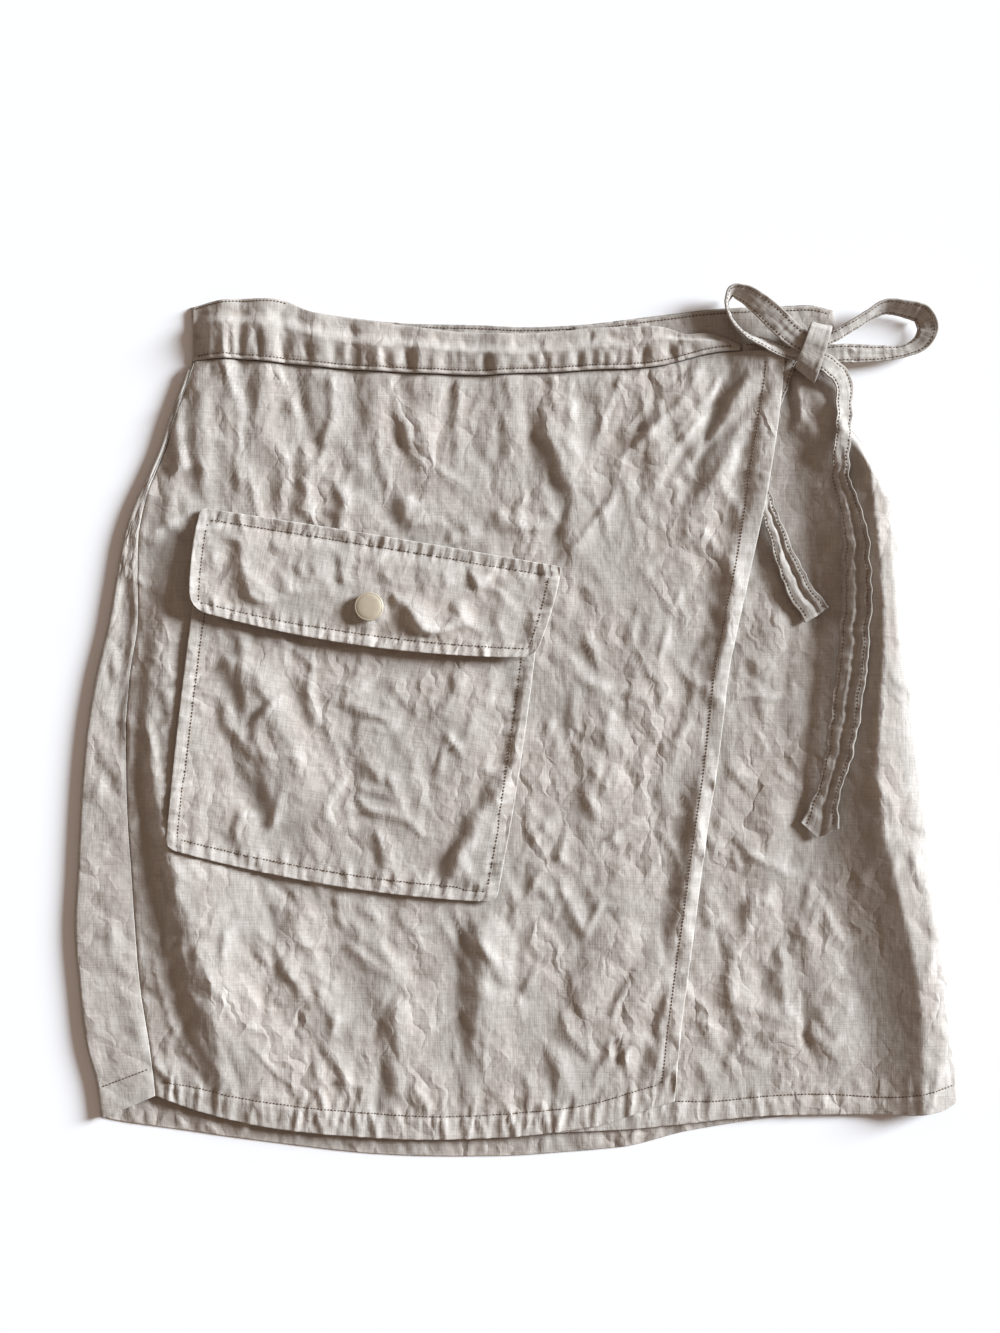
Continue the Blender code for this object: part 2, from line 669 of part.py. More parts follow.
def front_panels():
    seam = lambda x: along(WAIST, "seam", x) - SEAM / 2
    across = np.linspace(0, 1, 28)
    down = np.linspace(0, 1, ROWS)
    y_left, y_right = SEAM_TOP, 193.6
    edges = (
        line_edge(side_seam(y_left) + SEAM / 2, along(SIDES, "wrap", y_right), seam),
        line_edge(-190.6, 82.0, lambda x: along(HEM, "over", x)),
        side_edge(y_left, SEAM_LOW, lambda y: side_seam(y) + SEAM / 2),
        side_edge(y_right, -200.4, lambda y: along(SIDES, "wrap", y)),
    )
    sheet("overlap_front", patch(*edges, across, down), over_z, LINEN)

    inner = lambda y: UNDER_INNER[0] + (UNDER_INNER[1] - UNDER_INNER[0]) * (
        (184.0 - y) / 400.0
    )
    right = lambda y: along(SIDES, "right", y)
    edges = (
        line_edge(inner(175.0), 166.0, lambda x: back_seam(x) - SEAM / 2 - 1.0),
        line_edge(inner(-217.0), 232.2, lambda x: along(HEM, "under", x)),
        side_edge(175.0, -217.2, inner),
        side_edge(183.0, -197.8, right),
    )
    plan = patch(*edges, UNDER_COLUMNS, np.linspace(0, 1, 31))
    sheet("underlap_front", plan, under_z, LINEN)
    return plan[0, :, 0]


def bands(under_seam_x):
    top = lambda x: along(WAIST, "back", x)
    plan = patch(
        line_edge(-172.4, 166.0, top),
        line_edge(left_top(), 166.0, lambda x: back_seam(x) + SEAM / 2),
        side_edge(217.4, 184.6, lambda y: along(SIDES, "left", y) + 0.2),
        side_edge(215.8, 182.9, lambda y: np.full_like(y, 166.0)),
        np.linspace(0, 1, 25),
        np.linspace(0, 1, 4),
    )
    # its lower edge runs straight between the same points as the panel below it
    join = np.linspace(left_top(), 166.0, 13)
    x = plan[-1, :, 0]
    plan[-1, :, 1] = np.interp(x, join, back_seam(join)) + SEAM / 2
    plan[-1, 0, 0] = -174.8
    sheet("back_waistband", plan, lambda x, y: np.full_like(x, FLOOR_Z), LINEN_BACK)

    x = under_seam_x[1:]
    down = np.linspace(0, 1, 5)[:, None]
    y = top(x) - 1.0 - down * (BAND - SEAM / 2)
    plan = np.dstack([np.broadcast_to(x, y.shape), y])

    def under_band_z(x, y):
        return SIDE_Z + (UNDER_Z - SIDE_Z) * ease((166.0 - x) / 8.0)

    sheet("underlap_waistband", plan, under_band_z, LINEN_BACK)

    troughs = PUCKERS["x"]
    crests = (troughs[1:] + troughs[:-1]) / 2
    columns = np.sort(
        np.concatenate([[-171.4, -163.0, 99.0, 108.0, 116.4], troughs, crests])
    )
    across = (columns - columns[0]) / (columns[-1] - columns[0])
    x0, x1 = columns[0], columns[-1]
    seam = lambda x: along(WAIST, "seam", x) + SEAM / 2
    edge = lambda x: along(WAIST, "front", x)
    plan = patch(
        line_edge(x0, x1, edge),
        line_edge(x0, x1, seam),
        side_edge(edge(x0), seam(x0), lambda y: np.full_like(y, x0)),
        side_edge(edge(x1), seam(x1), lambda y: np.full_like(y, x1)),
        across,
        (0, 0.3, 0.46, 0.6, 0.8, 1),
    )
    # the third row follows the crease along the band
    x = plan[0, :, 0]
    crease = along(WAIST, "crease", x)
    top_y, low_y = edge(x), seam(x)
    levels = (
        top_y,
        crease + 0.5 * (top_y - crease),
        crease,
        crease - 0.34 * (crease - low_y),
        crease - 0.68 * (crease - low_y),
        low_y,
    )
    for row, y in enumerate(levels):
        plan[row, :, 1] = y
    sheet("front_waistband", plan, band_z, LINEN)


def pocket_z(x, y):
    """Height of the middle of the pocket: the front below it, moved out."""
    inside = np.clip((x + 175) / 40, 0, 1) * np.clip((0 - x) / 40, 0, 1)
    inside = inside * np.clip((y + 85) / 40, 0, 1)
    z = over_z(x, y) + WALL + LAY
    return z + POCKET_PUFF * ease(inside) + folds(x, y, POCKET_FOLDS) * ease(inside * 3)


def flap_z(x, y):
    """Height of the middle of the flap: it lies on the pocket and stands off below."""
    top = 111.6 - (x + 166.6) * (31.0 / 189.2)
    drop = np.clip((top - y) / 50.0, 0, 1.1)
    sewn = ease((top - y - 4.0) / 9.0)
    over_front = over_z(x, y) + WALL + LAY
    over_pocket = pocket_z(x, y) + WALL + LAY
    z = over_front + (over_pocket - over_front) * sewn
    return z + FLAP_STAND * ease(drop * 0.9)


def pocket_and_flap():
    plan = patch(
        *patch_edges(POCKET_EDGES), np.linspace(0, 1, 17), np.linspace(0, 1, 15)
    )
    sheet("pocket", plan, pocket_z, LINEN)
    plan = patch(
        *patch_edges(FLAP_EDGES), np.linspace(0, 1, 18), np.linspace(0, 1, 8)
    )
    sheet("pocket_flap", plan, flap_z, LINEN)


def disc(name, radii, levels, at, slope, colour, roughness):
    """A turned disc: one ring for each radius and level, closed by a face at each end."""
    count = 28
    turn = np.linspace(0, 2 * math.pi, count, endpoint=False)
    up = np.array((-slope[0], -slope[1], 1.0))
    up /= np.linalg.norm(up)
    side = np.cross((0.0, 1.0, 0.0), up)
    side /= np.linalg.norm(side)
    back = np.cross(up, side)
    points, faces = [], []
    for r, z in zip(radii, levels):
        for a in turn:
            points.append(
                np.array(at)
                + side * r * math.cos(a)
                + back * r * math.sin(a)
                + up * z
            )
    for ring in range(len(radii) - 1):
        for i in range(count):
            j = (i + 1) % count
            a, b = ring * count, (ring + 1) * count
            faces.append((a + i, a + j, b + j, b + i))
    faces.append(tuple(range(count))[::-1])
    faces.append(tuple((len(radii) - 1) * count + i for i in range(count)))
    return add_mesh(name, points, faces, colour, roughness, 0.75)


def snap():
    x, y = SNAP_AT
    step = 4.0
    slope = (
        float(flap_z(x + step, y) - flap_z(x - step, y)) / (2 * step),
        float(flap_z(x, y + step) - flap_z(x, y - step)) / (2 * step),
    )
    z = float(flap_z(x, y))
    r = SNAP_D / 2
    disc(
        "snap_cap",
        (r - 0.9, r, r, r - 0.9, r - 2.4, 1.6),
        (0.0, 0.5, 1.1, 1.7, 2.1, 2.3),
        (x, y, z + WALL / 2 + 0.45),
        slope,
        BRASS,
        0.35,
    )
    r = SNAP_UNDER_D / 2
    disc(
        "snap_stud",
        (r, r),
        (0.0, 1.0),
        (x, y, z - WALL / 2 - 1.5),
        slope,
        BRASS,
        0.4,
    )


def tie():
    strap("tie_root", TIE_ROOT, 6, LINEN_TIE, lanes=3)
    strap("tie_loop_left", LOOP_LEFT, 26, LINEN_TIE)
    strap("tie_loop_right", LOOP_RIGHT, 28, LINEN_TIE)
    strap("tie_knot", KNOT, 20, LINEN_TIE, lanes=4)
    strap("tie_tail_long", TAIL_LONG, 30, LINEN_TIE, under_z, TAIL_LONG_POINT)
    strap("tie_tail_short", TAIL_SHORT, 20, LINEN_TIE, under_z, TAIL_SHORT_POINT)


def main():
    for obj in list(bpy.data.objects):
        bpy.data.objects.remove(obj)
    back_panel()
    bands(front_panels())
    pocket_and_flap()
    snap()
    tie()


main()
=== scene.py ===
"""A wrap mini skirt in washed linen and cotton, laid flat: its look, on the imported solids.

Run as a script. Sizes in the tables are millimetres; x runs across the skirt, y from hem
to waist and z up from the table, as in the solids. The tables down to the tie's are those
of the solids, apart from STEP_HALF; the ones after them are the cloth's own.
"""

import math

import bmesh
import bpy
import numpy as np
from bpy.props import FloatProperty, FloatVectorProperty
from mathutils import Matrix, Vector
from mathutils.bvhtree import BVHTree


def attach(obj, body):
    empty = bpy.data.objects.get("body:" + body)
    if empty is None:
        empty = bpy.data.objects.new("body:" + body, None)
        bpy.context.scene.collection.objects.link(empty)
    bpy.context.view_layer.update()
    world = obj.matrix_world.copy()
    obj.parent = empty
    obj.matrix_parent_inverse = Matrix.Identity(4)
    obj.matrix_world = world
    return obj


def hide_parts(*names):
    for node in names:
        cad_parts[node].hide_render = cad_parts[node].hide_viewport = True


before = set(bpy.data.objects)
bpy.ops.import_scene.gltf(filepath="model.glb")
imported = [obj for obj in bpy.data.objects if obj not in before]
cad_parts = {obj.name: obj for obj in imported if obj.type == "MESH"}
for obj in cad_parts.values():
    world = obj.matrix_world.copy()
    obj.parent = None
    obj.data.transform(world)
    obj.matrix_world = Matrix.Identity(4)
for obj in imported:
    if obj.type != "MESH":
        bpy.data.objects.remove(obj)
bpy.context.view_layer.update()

bl_info = {
    "name": "Wrap mini skirt",
    "version": (1, 0, 0),
    "blender": (4, 5, 0),
    "location": "3D View > Sidebar > Skirt",
    "description": "Builds a linen wrap skirt laid flat, with its pocket, snap and bow",
    "category": "Object",
}

MM = 0.001

# ---------------- named sizes
WALL = 1.2  # thickness of every cloth wall
SEAM = 0.3  # gap between two pieces that are sewn edge to edge
LAY = 0.8  # gap between two layers that lie on each other
BAND = 33.0  # height of the waistband

FLOOR_Z = WALL / 2  # middle of the cloth that lies on the table
UNDER_Z = FLOOR_Z + WALL + LAY  # middle of the underlap and its band
OVER_Z = UNDER_Z + WALL + LAY + 0.6  # middle of the overlapping front
SIDE_Z = FLOOR_Z + WALL + SEAM  # middle of a sheet that is sewn to the layer on the table
ROLL = 1.8  # radius of the left side fold, to the middle of the cloth
LIP_Z = FLOOR_Z + 2 * ROLL  # middle of the back panel where it has come round to the front

UNDER_INNER = (24.0, -46.0)  # hidden inner edge of the underlap: x at the waist, x at the hem
SEAM_TOP, SEAM_LOW = 188.0, -197.2  # ends of the left side seam

SNAP_AT = (-78.0, 59.5)  # middle of the snap
SNAP_D = 15.0  # diameter of its cap
SNAP_UNDER_D = 10.5  # diameter of its stud


def table(columns, rows):
    """A short table as a dictionary of columns by name."""
    return dict(zip(columns.split(), np.array(rows, float).T))


# One row for each section across the skirt: the left side fold, the left side seam (the
# back panel comes round to it), the edge of the overlapping front and the right side fold.
SIDES = table("y left seam wrap right", (
    (200, -172.5, -168.7, 140.5, 165), (188, -174, -170.2, 139.4, 166),
    (172, -179.5, -175.7, 138, 168.5), (158, -184.6, -180.8, 136.4, 173),
    (145, -188.5, -184.7, 134.6, 182.6), (130, -195, -190.8, 132.2, 191.6),
    (115, -202, -196, 129.6, 198.2), (100, -207.2, -199, 126.4, 201),
    (75, -212, -200, 121, 203.4), (50, -216.4, -200, 115.4, 205),
    (25, -222.4, -204, 110.4, 207.4), (0, -226.8, -206, 107.6, 209.6),
    (-25, -229.4, -206, 104.4, 213.2), (-50, -231, -205.4, 100.4, 216.6),
    (-80, -232.4, -203.4, 96.2, 220.4), (-110, -233.8, -201.4, 92.4, 224.4),
    (-140, -231.4, -198.8, 88.4, 228.4), (-170, -227.8, -194, 84.6, 230.8),
    (-192, -222.2, -191.2, 82.6, 232), (-214, -219.4, -189.4, 80.8, 232.2),
))

# One row for each section along the waist: the back band's top edge, the front band's top
# edge, the soft crease along the front band, and the seam below it.
WAIST = table("x back front crease seam", (
    (-172, 217.5, 217, 207.6, 188.3), (-160, 220.5, 220.1, 208.2, 189.8),
    (-140, 222, 221.5, 208, 189), (-124, 221.3, 220.7, 206, 187.4),
    (-110, 215.8, 215, 202.2, 186), (-96, 213.2, 212.4, 199.4, 184.6),
    (-78, 210.8, 209.8, 197, 183.4), (-60, 209.2, 207.4, 195.8, 182.4),
    (-40, 208.6, 204.8, 194.2, 181.6), (-20, 208.2, 203.4, 192.6, 181),
    (0, 207.2, 203.2, 192.2, 182), (20, 207.6, 204.2, 193.6, 182.6),
    (40, 209, 206.2, 195.2, 184), (60, 211.5, 206.8, 197, 184.6),
    (76, 213.5, 206.6, 199.6, 186.4), (88, 215, 203, 199.2, 189.4),
    (98, 216.2, 203.4, 199, 192), (108, 217, 201, 198.2, 193.6),
    (119, 217.6, 196.4, 195.6, 194.2), (130, 218, 195.4, 195, 194.4),
    (142, 218.4, 195, 194.6, 193.6), (155, 218.6, 195, 194.6, 192.6),
    (166, 215.8, 195, 194.6, 191.6),
))

# One row for each section along the hem: the lower edges of the overlapping front, the
# underlap and the back.
HEM = table("x over under back", (
    (-222, -190, -212, -208.6), (-206, -193.4, -212.4, -211.6),
    (-190, -197.4, -213, -213.8), (-175, -203, -214, -215.8),
    (-155, -208.8, -215, -218.8), (-135, -213.2, -216, -221.4),
    (-110, -216.6, -216.6, -224.6), (-85, -218.6, -217, -227.4),
    (-55, -220.2, -217.2, -229.2), (-25, -219.8, -217.2, -229.5),
    (0, -218.5, -217, -229), (25, -215.6, -216.6, -227.2),
    (45, -212.2, -215.8, -225.6), (60, -207.2, -215, -223.8),
    (72, -203.2, -213.8, -220.8), (84, -199.8, -212.6, -217.4),
    (105, -199, -210.2, -213.4), (130, -199, -208, -209.8),
    (160, -199, -207.4, -206.6), (190, -199, -207, -205.6),
    (214, -199, -206.2, -203.4), (226, -199, -203, -200.4),
    (233, -199, -197.8, -196.8),
))

# The long ridge that stands up along the right side: where its crest is, how high it
# stands, and how far its two slopes reach.
SIDE_RIDGE = table("y crest height left right", (
    (176, 172, 0, 12, 6), (150, 178, 3.4, 17, 8), (125, 184, 6.4, 23, 12),
    (100, 187, 8.2, 28, 14), (60, 190, 9, 32, 16), (20, 189.4, 9, 35, 18),
    (-20, 187.6, 9, 37, 24), (-55, 190.4, 8.4, 39, 26), (-90, 198.8, 8, 42, 22),
    (-120, 206, 7.4, 40, 19), (-150, 210.6, 6.8, 36, 18), (-180, 212.2, 6, 34, 19),
    (-210, 212.6, 5.2, 34, 19),
))

# The step down along the left side, where the front drops to the side fold: the middle of
# the slope and how much the cloth rises over it.
SIDE_STEP = table("y x rise", (
    (130, -194, 0.4), (100, -197, 1.2), (60, -199, 2.4), (20, -200, 3.2),
    (-20, -197, 3.8), (-60, -190.5, 4), (-90, -185.5, 4), (-120, -180, 3.8),
    (-150, -174, 3.4), (-180, -164.5, 2.6), (-212, -154, 1.6),
))
STEP_HALF = 7.0  # half the width of that slope (9 on the solid: the cloth turns more sharply)
STEP_FADE = 60.0  # how far inwards the rise takes to fade out

# Largest folds of the overlapping front, from their upper to their lower end: x0, y0, x1,
# y1, bend, height, left, right. bend moves the middle of the crest to the right; left and
# right are the reach of the two slopes. The rows of creases further down are written alike.
OVER_FOLDS = (
    # along the wrap edge, over the short end of the tie and the gathers by the bow
    (139, 232, 126, 82, 0, 3.1, 15, 15), (133, 214, 95, 100, -2, 2.6, 12, 12),
    (116, 100, 100, 0, 2, 2.2, 13, 10), (98, -10, 82, -126, 1, 2.4, 11, 9),
    (78, -118, 52, -158, 2, 1.6, 11, 12),
    # gathers hanging from the band
    (-169, 214, -164, 112, 2, 1.6, 7, 9), (-157, 220, -151, 104, 1, 2.4, 8, 9),
    (-135, 218, -131, 116, 0, 2.2, 12, 13), (-109, 208, -101, 138, 1, 1.6, 11, 13),
    (-78, 206, -74, 132, 2, 1.6, 13, 14), (-46, 204, -50, 136, -1, 1.4, 13, 14),
    (-12, 204, -6, 136, 2, 1.6, 13, 14), (13, 176, 34, 112, -3, 2.4, 11, 18),
    (34, 118, 27, 78, 1, 1.6, 11, 14), (66, 176, 75, 112, 2, 1.8, 12, 14),
    (88, 186, 92, 134, -3, 1.6, 12, 13),
    # below and beside the pocket
    (-20, -90, -16, -184, 2, 2, 15, 20), (-128, -108, -92, -166, -3, 1.8, 16, 18),
    (-80, -104, -64, -180, 2, 1.4, 16, 18), (30, 30, 44, -60, 4, 1.8, 17, 20),
    (58, -70, 30, -170, 3, 1.8, 18, 20), (66, 70, 60, -20, 4, 1.6, 16, 18),
)

UNDER_FOLDS = (
    # the hollow under the bow and the gathers of the underlap
    (136, 164, 168, 134, 3, 2.2, 12, 9), (153, 176, 170, 160, -1, 1.8, 10, 9),
    (140, 66, 122, 18, 2, 1.4, 14, 14), (134, -20, 124, -100, 3, 1.4, 16, 18),
    (96, -140, 152, -172, 2, 1.6, 14, 14), (150, -96, 172, -196, 2, 1.8, 16, 18),
)

POCKET_FOLDS = (
    (-146, 66, -98, -74, -6, 2.2, 20, 26), (-40, 44, -22, -88, 4, 1.2, 26, 22),
    (-84, 30, -62, -70, 5, 1, 22, 22),
)

# Pocket and flap: one row for each edge, from corner to corner, how far its middle bows
# out, and the radius that rounds its end. The edges run round clockwise from the top left.
EDGE_COLUMNS = "x0 y0 x1 y1 bow radius"
POCKET_EDGES = (
    (-165.4, 96.0, 12.4, 70.0, 0.0, 2.0),
    (12.4, 70.0, -11.6, -95.2, 2.2, 5.0),
    (-11.6, -95.2, -184.6, -66.6, 5.4, 5.0),
    (-184.6, -66.6, -165.4, 96.0, 1.4, 2.0),
)
FLAP_EDGES = (
    (-166.6, 111.6, 22.6, 80.6, 0.8, 2.0),
    (22.6, 80.6, 8.6, 33.0, 1.8, 7.0),
    (8.6, 33.0, -172.0, 58.6, 6.6, 9.0),
    (-172.0, 58.6, -166.6, 111.6, 2.0, 3.0),
)
FLAP_STAND = 3.0  # how far the flap's lower edge stands off the pocket
POCKET_PUFF = 0.9  # how far the middle of the pocket stands off the front

# Troughs of the puckered front band: where, how deep and how wide on each side.
PUCKERS = table("x depth reach", (
    (-166, 0.6, 4), (-157, 0.9, 3.4), (-152, 0.8, 2.6), (-146, 1, 3.4),
    (-137, 1, 4.6), (-123, 1.1, 6), (-110, 0.9, 6), (-96, 0.8, 5),
    (-87, 1.1, 4.2), (-79, 0.7, 4), (-69, 1.3, 4.8), (-58, 1.3, 5),
    (-48, 0.8, 4.4), (-38, 0.9, 4.6), (-27, 0.6, 4.6), (-17, 1, 5),
    (-5, 0.8, 4.4), (3, 0.6, 4), (14, 0.7, 4), (21, 0.8, 3.6),
    (31, 1, 4.2), (39, 0.9, 3.2), (45, 0.8, 3), (52, 0.7, 2.6),
    (57, 0.8, 3.4), (65, 1.2, 5), (79, 1.2, 5.4), (91, 0.8, 5),
))

# Straps of the tie, one row for each section: the middle of the strap, its width there,
# its roll about its own length (90 stands on edge), and how deep it is creased lengthwise.
STRAP_COLUMNS = "x y z width roll crease"
LOOP_LEFT = (
    (150.5, 196.6, 11.7, 11, 0, 0), (144, 201, 11.4, 12, 0, 0.2),
    (135, 209.6, 10.4, 12.6, 6, 0.2), (126, 218, 9.4, 11.6, 14, 0),
    (118, 223.6, 8.6, 10.6, 36, 0), (111.6, 224.8, 8.2, 10, 62, 0),
    (109.2, 220.4, 8, 9.6, 76, 0), (109.8, 214.4, 8, 9.4, 76, 0),
    (114, 207.2, 8, 9.2, 74, 0), (121, 201.2, 8.4, 9, 66, 0),
    (130, 197.2, 9.4, 8, 44, 0), (139, 193.4, 9.4, 7, 14, 0),
    (148, 191.4, 9.6, 7, 0, 0),
)
LOOP_RIGHT = (
    (157, 197.6, 10.6, 6, 0, 0), (164, 200.6, 10.1, 6.2, -20, 0),
    (174, 206.4, 9.8, 7.6, -46, 0), (183.4, 212.2, 8.4, 9, -56, 0),
    (192, 216.8, 7.2, 10.4, -50, 0), (203, 215.8, 6.4, 11.4, -46, 0),
    (212, 212.8, 5.6, 12, -36, 0), (214.9, 206, 5, 11.4, -16, 0),
    (211.6, 198.8, 4.6, 9.6, -20, 0), (203.6, 194.4, 4.6, 7.6, -24, 0),
    (191, 192.8, 5, 8.6, -8, 0.2), (180, 192.6, 5.8, 9.6, 0, 0.2),
    (169, 192.6, 6.8, 10, 0, 0), (158, 191.4, 7.2, 9.6, 0, 0),
)
KNOT = (
    (155.6, 198.6, 5.2, 11, -17, 0), (157.4, 204, 5.2, 11, -15, 0),
    (158.6, 207, 7.6, 11.2, -13, 0), (158.2, 205.8, 11.6, 11.4, -13, 0),
    (156.6, 201.6, 14, 11.6, -15, 0), (153.4, 192.2, 14.3, 12.2, -24, 0),
    (150.8, 184.6, 12.8, 13.4, -37, 0), (149.9, 181.2, 9.4, 13, -39, 0),
    (150.6, 182.6, 6, 12.4, -36, 0), (152.4, 188, 5.2, 11, -26, 0),
)
# The two loose ends lie on the underlap: here z is how far they stand above where they lie.
TAIL_LONG = (
    (156.4, 189.4, 5, 9.6, 0, 0), (161.6, 186.4, 5.2, 10, 0, 0),
    (167.2, 181.8, 4.2, 10, 0, 0), (171, 175, 2.2, 9.6, 0, 0),
    (171, 165, 1, 9, 0, 0), (170, 152, 0.5, 8.6, 0, 0),
    (168.4, 138, 0.4, 8.8, 0, 0.1), (168.4, 126, 0.6, 9.4, 0, 0.4),
    (172.6, 112, 0.8, 11, 0, 0.8), (175.6, 96, 0.7, 12.8, 0, 1),
    (176.6, 72, 0.6, 14.4, 0, 1.1), (175.6, 48, 0.6, 15, 0, 1.1),
    (173.4, 24, 0.6, 15.4, 0, 1.1), (170.4, 0, 0.6, 15, 0, 1.1),
    (166.4, -22, 0.6, 13.4, 0, 1.1), (162, -38, 0.8, 12.2, 0, 1.1),
    (159.4, -47, 0.8, 15.6, 0, 0.8), (158.2, -55, 0.6, 20, 0, 0.4),
)
TAIL_LONG_POINT = 7.0  # how far the middle of its end runs past its corners
TAIL_SHORT = (
    (150.6, 193, 2.7, 5.6, 0, 0), (145.6, 191.2, 2.9, 5.6, 0, 0),
    (141, 185.6, 1.5, 6.2, 0, 0), (138, 175.6, 0.5, 7.4, 0, 0),
    (133.4, 164, 0.3, 7.4, 0, 0), (130.2, 150, 0.3, 7.4, 0, 0),
    (127.8, 134, 0.3, 7.4, 0, 0), (128.4, 120, 0.3, 7.4, 0, 0),
    (132, 108, 0.4, 8, 0, 0.5), (137, 94, 0.5, 9.6, 0, 0.8),
    (142.6, 80, 0.6, 12, 0, 1), (149.4, 66, 0.6, 13.8, 0, 1),
    (156.6, 55.4, 0.6, 14.6, 0, 0.9),
)
TAIL_SHORT_POINT = 0.6  # the same of the short one
TIE_ROOT = (
    (117.6, 195.2, 4.7, 6.6, 0, 0), (126, 194.6, 4.7, 6.6, 0, 0),
    (135, 193.4, 4.8, 6.6, 0, 0), (143.2, 191.6, 5.2, 6.6, 0, 0),
)


# ---------------- sewing and creases
BACK_WALL = 0.9  # thickness of the back panel as it is drawn
EDGE_ROUND = 0.4  # radius that rounds a cut edge
TURNED = 0.4  # how far a hem stands up between its edge and its stitching
HEM_WIDTHS = 0.93  # where that ends, as a share of the way to the stitching
PATCH_TURNED = 0.35  # how far the edges of pocket and flap stand up
GROOVE, GROOVE_HALF = 0.42, 1.5  # depth and half width of the groove under stitches
PATCH_STITCH = 6.0  # how far the flap's stitching lies inside its edges
AIR = 0.1  # gap between a loose end of the tie and the cloth below it
RIDGE_LIFT = 1.35  # height of the right side's ridge, as a share of the solid's
FRONT_BOX = (-232, 118, -216, 194)  # where the front's creases are strewn: x range, y range
NOISE_CELLS = 64  # the noise repeats after so many cells
NOISE_SHIFT = (4096.37, 4096.71)  # moves the borders of its cells off round places

# Width of the turned edge of the overlapping front, from its stitching to the wrap edge.
WRAP_TURN = table(
    "y      width",
    [(200, 9), (160, 10.6), (130, 11), (100, 9.2), (50, 8), (0, 7.2), (-210, 7)],
)

# Places of the topstitching across the hems.
HEM_STITCH = table("x over under", (
    (-190, -189.6, -202), (-170, -192.5, -202), (-150, -197, -202),
    (-120, -202, -202), (-80, -206, -202), (-40, -208, -202), (0, -206, -202),
    (40, -201, -201.6), (66, -193.4, -201), (84, -189, -200.2), (100, -189, -200.4),
    (130, -189, -197.6), (150, -189, -196.5), (210, -189, -196), (232, -189, -190),
))

